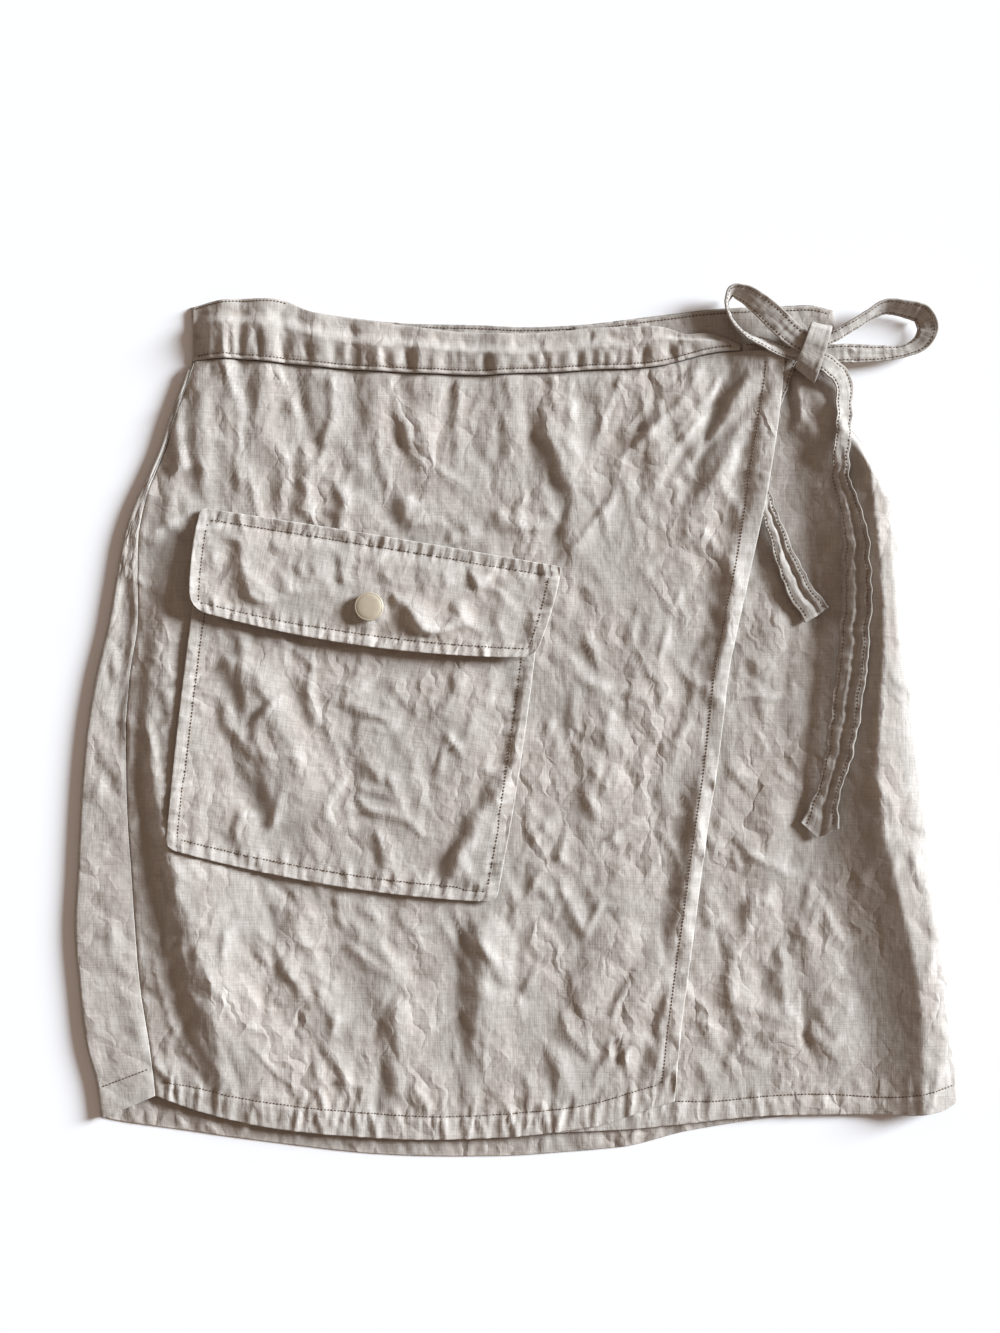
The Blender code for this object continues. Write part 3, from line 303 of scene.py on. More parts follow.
# Stretches where the cloth climbs to the right, away from the light: how steeply, what share
# of the climb lies below the level of the sheet where that isn't the usual share, then y with
# the stretch's left and right border there. Beyond both borders the cloth sinks back slowly.
USUAL_SHARE = 0.3
FRONT_SLOPES = (
    # gathers below the band, from the left
    (0.3, 0.2, (188, -176, -169), (170, -175, -169), (140, -172, -168), (120, -169, -166)),
    (0.34, (172, -181, -178), (152, -187, -178.5), (140, -188, -177), (126, -186, -176)),
    (0.16, (186, -161, -158), (150, -161, -158), (124, -162, -159)),
    (0.42, 0.5, (192, -150.5, -145), (150, -150.5, -145), (108, -150, -145)),
    (0.22, (187, -129.5, -127.5), (178, -127.5, -125), (166, -126, -123.5)),
    (0.24, (150, -128, -121), (130, -131, -123), (104, -131, -124)),
    (0.34, (150, -115.5, -112), (140, -116, -111.5), (125, -119, -111), (104, -120, -108)),
    (0.34, 0.4, (187, -101.5, -98.5), (168, -101.5, -97), (158, -102.5, -98), (148, -106, -101.5),
     (132, -109.5, -106)), (0.3, (148, -93.5, -90.5), (140, -92, -88.5), (129, -91, -87.5)),
    (0.32, (126, -98, -91), (110, -101, -91), (97, -100, -91)),
    (0.32, (184, -71.5, -68.5), (164, -66, -62), (156, -67, -59), (141, -62, -59)),
    (0.34, (149, -53.5, -50.5), (135, -48, -44), (121, -39, -35)),
    (0.3, (122, -66, -60), (112, -66, -56), (101, -64, -55)),
    (0.28, (101, -39, -34), (92, -40, -33)),
    (0.34, (173, -5.5, -3.5), (166, -5.5, -3.5), (160, -10, -8), (151, -8, -5)),
    (0.36, 0.4, (158, 3, 8.5), (145, 11, 16), (133, 15, 20), (122, 22, 26), (117, 25, 28),
     (110, 23.5, 26.5), (100, 21.5, 24.5), (86, 19.5, 22.5)),
    (0.28, (183, 13.5, 16), (172, 15.5, 18.5), (159, 17.5, 20.5)),
    (0.28, (172, 26, 28.5), (160, 24.5, 27.5), (150, 22.5, 25), (140, 20.5, 23.5)),
    (0.24, (172, 65, 68), (160, 63.5, 66.5), (150, 64.5, 67.5)),
    (0.22, (182, 72, 77), (168, 72, 77)), (0.28, (168, 69, 72), (158, 71, 74.5), (149, 74, 77)),
    (0.2, (153, 52, 62), (137, 53, 62)), (0.3, (183, 87, 91), (172, 91, 94.5), (164, 95, 97.5)),
    (0.26, (188, 107, 109.5), (170, 98.5, 100.5), (162, 93.5, 95.5), (152, 90, 92)),
    (0.26, (170, 114, 116), (156, 105, 107), (148, 99, 101), (135, 92, 94)),
    (0.2, (113, -15, -12), (106, -15, -6), (96, -12, 3)),
    (0.26, (108, -28, -25.5), (98, -29.5, -27), (87, -25, -23)),
    (0.12, (129, -21, -16), (118, -12, -6), (109, -3, 3)),
    (0.3, (133, 48.5, 51.5), (115, 44.5, 48), (108, 39, 43), (100, 32, 36), (85, 22, 25.5)),
    (0.22, (132, 79, 81.5), (128, 84, 86.5), (123, 89, 91.5)),
    # by the wrap edge
    (0.24, 0.4, (170, 121, 126), (157, 114, 120), (143, 107, 113), (128, 97, 104), (118, 90, 97),
     (110, 85, 92), (84, 84, 91)),
    (0.24, 0.5, (126, 114, 119), (104, 110.5, 116), (90, 109.5, 115), (70, 105, 111),
     (48, 103, 109), (30, 100, 106), (12, 94, 100)),
    (0.28, (53, 98, 101), (40, 95, 99), (30, 91, 95), (20, 88, 92), (0, 84, 88), (-14, 80, 84)),
    (0.28, 0.6, (0, 97, 100.5), (-30, 92.5, 96.5), (-50, 89, 93.5), (-70, 86, 90.5),
     (-90, 82.5, 87), (-110, 79, 83.5), (-126, 76.5, 81)), (0.16, (12, 42, 48), (-16, 42, 48)),
    (0.24, (-21, 76, 78.5), (-42, 71.5, 74)), (0.2, (62, 82, 87), (41, 82.5, 87)),
    (0.2, (68, 87, 91), (57, 92, 96)),
    # the drop along the left side, and the hollow by the flap's end
    (0.2, 0.2, (2, -205, -199), (-10, -203, -197), (-20, -200, -193), (-40, -199, -189.5),
     (-60, -199, -183), (-80, -196, -176), (-100, -191.5, -172), (-120, -186, -169),
     (-140, -182, -160), (-160, -177, -158), (-180, -168, -155), (-190, -163, -151),
     (-202, -153, -146)),
    (0.3, 0.5, (32, -190, -186), (20, -189, -184), (5, -187, -182.5), (-10, -184.5, -180)),
    (0.36, 0.9, (101, -174, -169), (92, -181, -170), (80, -180, -171), (60, -178, -170),
     (50, -174, -169)), (0.2, 0.5, (110, -208, -203), (95, -208.5, -201), (78, -207, -200.5)),
    (0.4, 1, (78, -206, -200), (60, -207, -200.5), (40, -207.5, -201), (30, -208.5, -203),
     (0, -210, -206), (-24, -209, -206)),
    (0.32, 0.4, (57, -217, -214), (45, -218, -212.5), (35, -218.5, -211.5), (17, -214, -208)),
    (0.16, (97, -198, -193), (86, -197, -192)), (0.26, (78, -188, -186), (65, -190.5, -188)),
    # below the pocket
    (0.24, (-86, -124, -120.5), (-106, -114, -110)), (0.14, (-98, -130, -116), (-122, -131, -116)),
    (0.38, (-118, -132, -128), (-130, -128, -124), (-138, -122, -118), (-149, -118, -114)),
    (0.32, (-137, -111, -107), (-147, -106, -102), (-162, -101, -97)),
    (0.32, (-169, -106, -102), (-180, -100, -96), (-200, -92, -88)),
    (0.32, 0.4, (-88, -101, -96), (-100, -98.5, -94), (-110, -94.5, -89.5), (-127, -92, -88)),
    (0.2, (-103, -88, -84), (-120, -87, -83), (-130, -82.5, -77.5), (-137, -74.5, -69.5)),
    (0.22, (-143, -74, -65), (-170, -74, -64), (-203, -71, -62)),
    (0.26, (-98, -68, -64), (-106, -62, -58), (-112, -52, -48)),
    (0.2, 0.4, (-97, -29, -18), (-110, -30, -18.5), (-130, -31, -19), (-150, -32, -20.5),
     (-165, -30, -22), (-192, -28.5, -24)),
    (0.26, (-137, -4.5, -1.5), (-150, -2.5, 0.5), (-163, -2, 1)),
    (0.3, (-184, 1, 3.5), (-195, 3, 7), (-205, 4.5, 7.5)),
    (0.32, (-169, 12, 17), (-180, 14, 20), (-199, 19, 22)),
    (0.26, (-129, 23, 27), (-140, 25.5, 30), (-147, 27, 31), (-159, 34, 38)),
    (0.28, (-127, 60.5, 64), (-138, 55, 59.5), (-150, 48.5, 52), (-162, 44, 47)),
    (0.24, (-126, 75, 78), (-137, 69, 72), (-151, 61, 63.5)),
    (0.28, (-139, 77.5, 80.5), (-150, 74, 78), (-160, 72, 75.5)),
    (0.4, (-164, 71, 75), (-186, 70, 74)),
    (0.28, (-161, 59, 62), (-172, 56, 60), (-180, 50.5, 54), (-191, 46, 49)),
    (0.28, (-162, 49, 52), (-175, 43, 47), (-185, 38, 42), (-198, 37, 40)),
    (0.24, (-162, 27, 30), (-170, 31.5, 34.5), (-177, 36, 39)),
    (0.24, (-96, 18, 23), (-104, 24, 29), (-113, 31, 34.5)), (0.2, (-87, 31, 38), (-99, 31, 38.5)),
    (0.24, (-75, 26, 29), (-82, 28, 30.5), (-88, 32, 34.5)),
    (0.24, (-93, 41, 43.5), (-100, 46, 49), (-109, 53, 56)),
    (0.22, (-82, 19, 21.5), (-99, 21, 24)),
    (0.26, (-130, -167, -164), (-142, -159.5, -157), (-152, -154, -151.5), (-161, -151, -148.5)),
    (0.26, (-177, -126, -123.5), (-192, -121.5, -118.5), (-200, -113.5, -110.5)),
)
POCKET_SLOPES = (
    (0.26, (35, -161, -153), (22, -156, -147), (12, -150, -142), (1, -147, -140)),
    (0.27, 0.4, (16, -160, -156), (0, -157, -151), (-10, -152.5, -144), (-20, -149, -138),
     (-30, -145, -133), (-40, -140, -129.5), (-62, -133, -127)),
    (0.26, (-47, -150, -142), (-62, -149.5, -141), (-78, -144, -139)),
    (0.2, (25, -119, -112), (12, -117, -108), (-6, -111, -105)),
    (0.16, (22, -103, -94), (7, -102, -93)),
    (0.28, (14, -88.5, -86), (6, -87, -83), (1, -80, -75), (-6, -68, -64)),
    (0.28, (1, -84, -81), (-10, -87.5, -83.5), (-20, -84.5, -80), (-35, -73, -69)),
    (0.22, (-36, -100, -96), (-43, -88, -82), (-48, -79, -72), (-53, -68, -62), (-64, -50, -46)),
    (0.22, (-57, -79, -76), (-67, -75, -71), (-77, -71.5, -68)),
    (0.28, (30, -34, -31), (15, -38, -34.5), (5, -42, -38.5), (-3, -45, -42)),
    (0.34, (-24, -10, -7), (-35, -20, -10), (-42, -22, -13), (-50, -27, -19), (-60, -33, -24),
     (-72, -41, -31), (-88, -42.5, -36)),
    (0.24, (9, -24, -21.5), (-5, -30, -27.5), (-23, -40, -37.5)),
    (0.26, (32, 2, 7), (20, 1, 6), (5, -2, 3), (-10, -6, 0), (-30, -9, -3), (-46, -9, -4)),
    (0.22, (23, -74, -70), (14, -64, -60), (6, -57.5, -54), (-1, -56, -53)),
    (0.22, (-9, -63, -60), (-20, -57, -54), (-33, -60, -57)),
)
FLAP_SLOPES = (
    (0.28, (98, -160, -153), (90, -152, -145), (80, -151, -143), (70, -150, -140),
     (60, -146, -136)), (0.28, (85, -119.5, -116.5), (71, -113.5, -110)),
    (0.2, (79, -130, -124), (65, -126, -119)),
    (0.28, (91, -96, -92.5), (80, -95.5, -92), (69, -95.5, -92.5)),
    (0.22, (89, -79, -76), (80, -76.5, -73), (71, -71, -67)),
    (0.3, (84, -51.5, -48), (72, -50, -46)), (0.3, (81, -43.5, -40.5), (71, -40.5, -37)),
    (0.32, (78, -27, -23), (67, -25, -20)),
    (0.36, 0.4, (68, -70, -66), (60, -69, -59), (54, -68, -54), (45, -68, -48)),
    (0.16, (73, -17, -11), (60, -15, -8), (47, -17, -10)), (0.16, (65, -34, -29), (49, -40, -34)),
    (0.22, (61, 4, 8), (50, 4, 8.5), (41, 1, 5)), (0.22, (98, -132, -129), (87, -128, -125)),
)
HOLLOW_SLOPES = (
    (0.22, 0.5, (176, 138, 166), (150, 136, 169), (130, 140, 171), (110, 146, 171),
     (84, 154, 172), (40, 162, 176)),
    # the dark fold under the bow, left of the long end of the tie
    (0.6, 0.7, (184, 139, 146), (168, 137, 148), (156, 136, 146), (145, 136, 141)),
)
UNDER_SLOPES = (
    # the hollow under the bow and the shoulder right of the long end of the tie
    (0.42, 0.5, (160, 171, 175), (150, 171.5, 181), (140, 171, 187), (130, 171, 192),
     (121, 173, 181)), (0.36, 0.5, (127, 185, 193), (118, 188, 196), (107, 190.5, 196)),
    (0.24, (28, 112.5, 115), (11, 114, 116)),
    (0.22, (49, 124, 127), (42, 129, 132), (35, 136, 139)), (0.14, (34, 120, 125), (0, 122, 128)),
    (0.14, (24, 138, 144), (-12, 140, 147)),
    (0.24, (-21, 105, 109), (-30, 112, 116), (-39, 120, 124)),
    (0.24, (-49, 100, 104), (-60, 107, 111), (-68, 115, 119), (-77, 123, 127)),
    (0.34, (-84, 94.5, 98.5), (-100, 95, 99.5), (-112, 99, 104)),
    (0.3, (-92, 116, 121), (-114, 116.5, 121.5)),
    (0.26, (-116, 107, 113), (-135, 106, 112), (-153, 106, 111)),
    (0.24, (-119, 131, 137), (-140, 132, 139), (-155, 136, 141)),
    (0.28, (-149, 110, 114), (-167, 114, 118)), (0.28, (-157, 151, 154.5), (-175, 153, 156.5)),
    (0.16, (-84, 150, 158), (-109, 150, 157)), (0.22, (-174, 139, 143), (-193, 139, 144)),
)

# Creases that run across, from one end to the other. Unlike the large folds they have a
# sharp crest, or a sharp bottom where the height is negative.
FRONT_CREASES = (
    (-193, 82, -179, 85, 0, -1, 3, 4), (-180, 86, -176, 72, 0, -0.8, 4, 4),
    (-199, 33, -186, 25, 0, -0.8, 3, 3), (-226, -22, -209, -34, 0, -0.8, 3, 4),
    (-220, -75, -209, -82, 0, -0.6, 3, 3), (-229, -140, -222, -151, 0, -1, 4, 5),
    (-209, -162, -194, -173, 0, -0.6, 3, 4), (-186, -154, -177, -168, 0, 0.7, 4, 6),
    (-62, 141, -36, 121, 2, 1, 5, 7), (0, -92, 27, -109, 0, 0.7, 4, 6),
)
UNDER_CREASES = (
    (99, -148, 151, -166, 0, -1.1, 4, 5), (107, -112, 122, -115, 0, -0.8, 3, 3),
    (117, -86, 131, -90, 0, -0.7, 3, 3), (137, 163, 168, 134, 3, -1.9, 12, 9),
    (151, 174, 164, 165, 0, 1.4, 5, 7), (139, 118, 149, 106, 0, 0.7, 5, 7),
)
POCKET_CREASES = (
    (-148, 42, -104, -46, 2, 1.5, 9, 15), (-101, -35, -54, -45, 3, 0.9, 4, 6),
    (-162, -16, -148, -19, 0, -0.5, 3, 3), (-64, -11, -54, -22, 0, 0.6, 3, 4),
)
FLAP_CREASES = (
    (-108, 90, -96, 60, 1, 0.9, 6, 8), (-67, 60, -68, 47, 0, 0.7, 2, 2),
)
# Hollows of the band above its crease, where it leans back.
BAND_CREASES = (
    (-160, 216, -138, 212, 0, -1.2, 5, 5), (-126, 217, -122, 201, 0, -0.9, 3, 4),
    (-118, 214, -111, 203, 0, -0.5, 3, 3), (-104, 213, -102, 200, 0, -0.5, 3, 3),
    (-90, 210, -85, 199, 0, -1.2, 3.5, 3.5), (-67, 206, -60, 202, 0, -0.6, 3, 3),
    (-45, 205, -39, 195, 0, -1.1, 4, 4), (-31, 203, -24, 193, 0, -0.7, 4, 4),
    (-3, 200, 2, 194, 0, -0.7, 3, 3), (9, 202, 12, 194, 0, -0.6, 3, 3),
    (38.5, 205, 37.5, 198, 0, -1, 2.5, 2.5), (44, 204, 62, 196, 0, -1.1, 4, 4),
    (82, 203, 84, 195, 0, -0.8, 3, 3), (-171, 203, -165, 200, 0, -1, 2.5, 2.5),
    # puckers from the crease down to the seam
    (-160, 204, -160, 188, 0, -0.7, 2, 5), (-152, 204, -152, 188, 0, -0.7, 2, 5),
    (-137, 206, -135.5, 186, 0, -1, 2, 5), (-124, 203, -124, 186, 0, -0.6, 2, 5),
    (-114, 200, -109, 188, 0, -0.8, 2, 5), (-97, 198, -97, 186, 0, -0.6, 2, 5),
    (-84, 197, -84, 184, 0, -0.7, 2, 5), (-72, 198, -69, 184, 0, -1, 2, 5),
    (-60, 197, -57, 183, 0, -1, 2, 5), (-33, 196, -33, 182, 0, -0.7, 2, 5),
    (-18, 194, -17, 181, 0, -0.9, 2, 5), (4, 193, 9, 182, 0, -0.7, 2, 5),
    (31, 194, 31, 182, 0, -0.7, 2, 5), (55, 196, 55, 183, 0, -0.7, 2, 5),
    (67, 198, 64, 185, 0, -1, 2, 5), (78, 198, 83, 187, 0, -0.9, 2, 5),
)


# ---------------- curves and heights
def along(rows, column, at, key=None):
    """A smooth curve through one column of a table, read at the given places."""
    key = key or next(iter(rows))
    t, p = rows[key], rows[column]
    if t[0] > t[-1]:
        t, p = t[::-1], p[::-1]
    slope = np.gradient(p, t)
    at = np.clip(np.asarray(at, float), t[0], t[-1])
    i = np.clip(np.searchsorted(t, at, "right") - 1, 0, len(t) - 2)
    h = t[i + 1] - t[i]
    s = (at - t[i]) / h
    return (
        (2 * s**3 - 3 * s**2 + 1) * p[i]
        + (s**3 - 2 * s**2 + s) * h * slope[i]
        + (3 * s**2 - 2 * s**3) * p[i + 1]
        + (s**3 - s**2) * h * slope[i + 1]
    )


def ease(t):
    """0 below 0, 1 above 1, and smooth between."""
    t = np.clip(t, 0, 1)
    return t * t * (3 - 2 * t)


def mound(t):
    """1 at 0, smoothly down to 0 at -1 and 1."""
    return np.clip(1 - t * t, 0, None) ** 2


def beside(x, y, x0, y0, x1, y1, bend):
    """Share of the way along a bowed line, and distance beside it, of the points x, y."""
    dx, dy = x1 - x0, y1 - y0
    length = math.hypot(dx, dy)
    s = ((x - x0) * dx + (y - y0) * dy) / length**2
    return s, ((y - y0) * dx - (x - x0) * dy) / length - bend * 4 * s * (1 - s)


def fold(x, y, x0, y0, x1, y1, bend, height, left, right):
    """Height of one soft fold at x, y. Its crest fades out towards both ends."""
    s, side = beside(x, y, x0, y0, x1, y1, bend)
    across = mound(side / np.where(side < 0, left, right))
    return height * across * ease(s / 0.3) * ease((1 - s) / 0.3)


def folds(x, y, rows):
    """Height of all folds of a table."""
    return sum(fold(x, y, *row) for row in rows)


def side_seam(y):
    """The left side seam."""
    return along(SIDES, "seam", y)


def under_z(x, y):
    """Height of the middle of the underlap's cloth."""
    crest = along(SIDE_RIDGE, "crest", y)
    reach = np.where(x < crest, along(SIDE_RIDGE, "left", y), along(SIDE_RIDGE, "right", y))
    ridge = along(SIDE_RIDGE, "height", y) * mound((x - crest) / reach)
    z = UNDER_Z + ridge + folds(x, y, UNDER_FOLDS)
    sewn = ease((along(SIDES, "right", y) - x) / 8)
    return SIDE_Z + (z - SIDE_Z) * sewn


def over_z(x, y):
    """Height of the middle of the overlapping front's cloth."""
    seam = side_seam(y)
    step = (x - along(SIDE_STEP, "x", y)) / STEP_HALF
    rise = along(SIDE_STEP, "rise", y) * ease((step + 1) / 2)
    rise = rise * (1 - ease((step * STEP_HALF - 6) / STEP_FADE))
    z = OVER_Z + rise + folds(x, y, OVER_FOLDS)
    low = LIP_Z + (z - LIP_Z) * ease((x - seam) / 14)
    hem = ease((y - along(HEM, "over", x)) / 16)
    return np.minimum(low, OVER_Z - 0.5) * (1 - hem) + low * hem


def pucker(x):
    """The puckers of the band, as a depth at x."""
    x = np.asarray(x, float)[..., None]
    return np.sum(PUCKERS["depth"] * mound((x - PUCKERS["x"]) / PUCKERS["reach"]), -1)


def band_z(x, y):
    """Height of the middle of the front band: up to its crease, then leaning back."""
    seam = along(WAIST, "seam", x)
    crease = along(WAIST, "crease", x)
    top = along(WAIST, "front", x)
    low = np.clip((y - seam) / np.maximum(crease - seam, 1), 0, 1)
    high = np.clip((y - crease) / np.maximum(top - crease, 1), 0, 1)
    swell = 2.2 * np.sin(low * math.pi / 2) * (1 - ease(high * 2.2))
    fade = ease((118 - x) / 26)
    z = over_z(x, seam) + (swell + 0.7 * (1 - high)) * fade
    z = z - pucker(x) * np.sin(np.clip(low, 0, 1) * math.pi) ** 0.7 * (high <= 0)
    z = z - 0.7 * ease(high * 1.6)
    end = ease((x + 172) / 11)
    return SIDE_Z + (np.maximum(z, UNDER_Z + WALL + 0.5) - SIDE_Z) * end


def patch_edges(rows):
    """Top, bottom, left and right edge of a four-sided piece, as functions of 0 to 1.

    Each edge leaves and meets its neighbours half way round their rounded corner.
    """
    rows = [dict(zip(EDGE_COLUMNS.split(), row)) for row in rows]
    nook = 1 - math.sqrt(0.5)

    def edge(index, flip):
        """One edge as a function, run the other way round where flip says so."""
        row, start = rows[index], rows[index - 1]["radius"]
        stop = row["radius"]
        a = np.array((row["x0"], row["y0"]))
        b = np.array((row["x1"], row["y1"]))
        length = np.linalg.norm(b - a)
        way = (b - a) / length
        out = np.array((-way[1], way[0]))

        def points(t):
            t = 1 - np.asarray(t) if flip else np.asarray(t)
            d = start * nook + t * (length - (start + stop) * nook)
            cut = np.zeros_like(d)
            for r, from_corner in ((start, d), (stop, length - d)):
                inside = np.clip(r - from_corner, 0, r)
                cut = cut + r - np.sqrt(r * r - inside * inside)
            s = d / length
            bow = row["bow"] * 4 * s * (1 - s)
            return a + d[:, None] * way + (bow - cut)[:, None] * out

        return points

    return edge(0, False), edge(2, True), edge(3, True), edge(1, False)


def patch(top, bottom, left, right, across, down):
    """The points between four edges: a grid with a row for each of down.

    The ends of the two side edges are drawn to the corners of the other two.
    """
    u = np.asarray(across, float)
    v = np.asarray(down, float)
    t, b = top(u)[None], bottom(u)[None]
    l, r = left(v)[:, None], right(v)[:, None]
    u, v = u[None, :, None], v[:, None, None]
    l = l + (1 - v) * (t[:, :1] - l[:1]) + v * (b[:, :1] - l[-1:])
    r = r + (1 - v) * (t[:, -1:] - r[:1]) + v * (b[:, -1:] - r[-1:])
    ends = (1 - v) * ((1 - u) * t[:, :1] + u * t[:, -1:]) + v * (
        (1 - u) * b[:, :1] + u * b[:, -1:]
    )
    return (1 - v) * t + v * b + (1 - u) * l + u * r - ends


def line_edge(x0, x1, height):
    """An edge that runs along the piece, from x0 to x1, at the height of a curve."""

    def points(t):
        x = x0 + (x1 - x0) * np.asarray(t)
        return np.stack([x, height(x)], -1)

    return points


def side_edge(y0, y1, place):
    """An edge that runs down the piece, from y0 to y1."""

    def points(t):
        y = y0 + (y1 - y0) * np.asarray(t)
        return np.stack([place(y), y], -1)

    return points


def back_seam(x):
    """The seam between the back panel and its band."""
    return along(WAIST, "back", x) - BAND


def left_top():
    """Where the back panel's flat part starts, at its upper left corner."""
    return float(along(SIDES, "left", 184.2)) + ROLL + WALL / 2


def patch_top(edges, x):
    """The upper edge of a four-sided piece at x, drawn straight."""
    x0, y0, x1, y1 = edges[0][:4]
    return y0 + (x - x0) * ((y1 - y0) / (x1 - x0))


def pocket_z(x, y):
    """Height of the middle of the pocket: the front below it, moved out."""
    inside = np.clip((x + 175) / 40, 0, 1) * np.clip((0 - x) / 40, 0, 1)
    inside = inside * np.clip((y + 85) / 40, 0, 1)
    z = over_z(x, y) + WALL + LAY
    return z + POCKET_PUFF * ease(inside) + folds(x, y, POCKET_FOLDS) * ease(inside * 3)


def flap_z(x, y):
    """Height of the middle of the flap: it lies on the pocket and stands off below."""
    top = patch_top(FLAP_EDGES, x)
    drop = np.clip((top - y) / 50, 0, 1.1)
    sewn = ease((top - y - 4) / 9)
    over_front = over_z(x, y) + WALL + LAY
    over_pocket = pocket_z(x, y) + WALL + LAY
    z = over_front + (over_pocket - over_front) * sewn
    return z + FLAP_STAND * ease(drop * 0.9)


# ---------------- relief of the cloth
def crease(x, y, x0, y0, x1, y1, bend, height, left, right):
    """Height of one sharp crease at x, y. It fades out towards both ends."""
    s, side = beside(x, y, x0, y0, x1, y1, bend)
    t = np.abs(side / np.where(side < 0, left, right))
    across = np.clip(1 - t, 0, None) ** 1.5
    return height * across * ease(s / 0.35) * ease((1 - s) / 0.35)


def creases(x, y, rows):
    """Height of all creases of a table."""
    return sum(crease(x, y, *row) for row in rows)


def slopes(x, y, rows):
    """Height of the stretches that climb to the right, and sink back slowly beyond."""
    total = np.zeros_like(x)
    x, y = (
        x + 1.6 * noise(x, y, 15, 17) + 0.5 * noise(x, y, 7, 19),
        y + 4 * noise(x, y, 15, 18),
    )
    for steep, *borders in rows:
        share = USUAL_SHARE if isinstance(borders[0], tuple) else borders.pop(0)
        borders = table("y left right", borders)
        top, low = borders["y"][0], borders["y"][-1]
        left, right = along(borders, "left", y), along(borders, "right", y)
        wide = np.maximum(right - left, 1.5)
        fade = 0.16 * (top - low)
        ends = ease((top - y) / fade) * ease((y - low) / fade)
        reach = 2.6 * wide + 5
        before = np.clip(1 - (left - x) / reach, 0, 1) ** 2
        after = np.clip(1 - (x - right) / reach, 0, 1) ** 2
        climb = np.clip((x - left) / wide, 0, 1)
        climb = 0.5 * climb + 0.5 * ease(climb)
        height = np.where(x < left, -share * before, climb - share)
        height = np.where(x > right, (1 - share) * after, height)
        total += steep * wide * height * ends
    return total * (1 + 0.35 * noise(x, y, 23, 7))


def noise(x, y, size, seed):
    """Smooth hills and hollows from about -1 to 1, size apart."""
    turn = np.random.default_rng(seed).uniform(0, 2 * math.pi, (NOISE_CELLS, NOISE_CELLS))
    u, v = x / size + NOISE_SHIFT[0], y / size + NOISE_SHIFT[1]
    i, j = np.floor(u).astype(int), np.floor(v).astype(int)
    u, v = u - i, v - j

    def corner(a, b):
        """What one corner of the cell adds at each point."""
        way = turn[(i + a) % NOISE_CELLS, (j + b) % NOISE_CELLS]
        return np.cos(way) * (u - a) + np.sin(way) * (v - b)

    su, sv = (t**3 * (t * (6 * t - 15) + 10) for t in (u, v))
    low = corner(0, 0) * (1 - su) + corner(1, 0) * su
    high = corner(0, 1) * (1 - su) + corner(1, 1) * su
    return 1.5 * (low * (1 - sv) + high * sv)


def crumple(x, y, size, seed, lean=0.3):
    """Crushed linen, from about -1 to 1: crisp little crests between soft facets."""
    a = x * math.cos(lean) + y * math.sin(lean)
    b = (y * math.cos(lean) - x * math.sin(lean)) * 0.62
    a = a + 0.4 * size * noise(x, y, size * 1.7, seed + 1)
    b = b + 0.4 * size * noise(x, y, size * 1.7, seed + 2)
    large = 1 - 2.4 * np.abs(noise(a, b, size, seed + 3))
    small = 1 - 2.4 * np.abs(noise(a, b, size * 0.47, seed + 4))
    swell = noise(x, y, size * 2.6, seed + 5)
    return 0.55 * large + 0.25 * small + 0.5 * swell


def ribs(run, away, pitch, depth, stitch, reach, seed):
    """Puckers across a stitched edge, uneven, deepest at the stitching."""
    rng = np.random.default_rng(seed)
    low, high = float(run.min()) - pitch, float(run.max()) + pitch
    at = np.arange(low, high, pitch)
    at = at + rng.uniform(-0.32, 0.32, len(at)) * pitch
    slant = rng.uniform(-0.3, 0.3, len(at))
    size = depth * rng.uniform(0.25, 1, len(at))
    wide = pitch * rng.uniform(0.34, 0.6, len(at))
    far = reach * rng.uniform(0.5, 1.3, len(at))
    total = np.zeros_like(run)
    for a, k, h, w, f in zip(at, slant, size, wide, far):
        near = mound((run - a - k * (away - stitch)) / w)
        inside = 1 - ease((away - stitch) / f)
        total += h * near * inside * (0.55 + 0.45 * ease(away / stitch))
    return total - depth * 0.3


def stitched(away, stitch):
    """The groove that a row of stitches draws into the cloth."""
    return -GROOVE * mound((away - stitch) / GROOVE_HALF)


def ways(plan):
    """How far each point of a grid is from its left, right, top and bottom edge."""
    across = np.linalg.norm(np.diff(plan, axis=1), axis=2)
    down = np.linalg.norm(np.diff(plan, axis=0), axis=2)
    x = np.pad(np.cumsum(across, 1), ((0, 0), (1, 0)))
    y = np.pad(np.cumsum(down, 0), ((1, 0), (0, 0)))
    return x, x[:, -1:] - x, y, y[-1:] - y


def rounding(away, radius=EDGE_ROUND):
    """How much a cut edge is rounded off."""
    inside = np.clip(radius - away, 0, radius)
    return radius - np.sqrt(radius**2 - inside**2)


def way_along(points):
    """How far along a line of points each of them is."""
    steps = np.linalg.norm(np.diff(points, axis=0), axis=1)
    return np.concatenate([[0], np.cumsum(steps)])


def stations(length, step):
    """Places along a piece, from 0 to 1: even, and close together at its two ends."""
    inner = np.linspace(1.1, length - 1.1, max(2, round((length - 2.2) / step) + 1))
    ends = np.array([0, 0.13, 0.42])
    return np.concatenate([ends, inner, length - ends[::-1]]) / length


# ---------------- making pieces
def show(mesh, material, slot_name, *nodes):
    """A smooth object of a mesh, named as the mesh is, as a finished piece."""
    mesh.shade_smooth()
    mesh.materials.append(material)
    obj = bpy.data.objects.new(mesh.name, mesh)
    bpy.context.scene.collection.objects.link(obj)
    return finish_piece(obj, slot_name, *nodes)


def finish_piece(obj, slot_name, *nodes):
    """A finished piece rides on the skirt and stands for its solids, which it hides; slot_name is
    not used.
    """
    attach(obj, "root")
    if nodes:
        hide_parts(*nodes)
    return obj


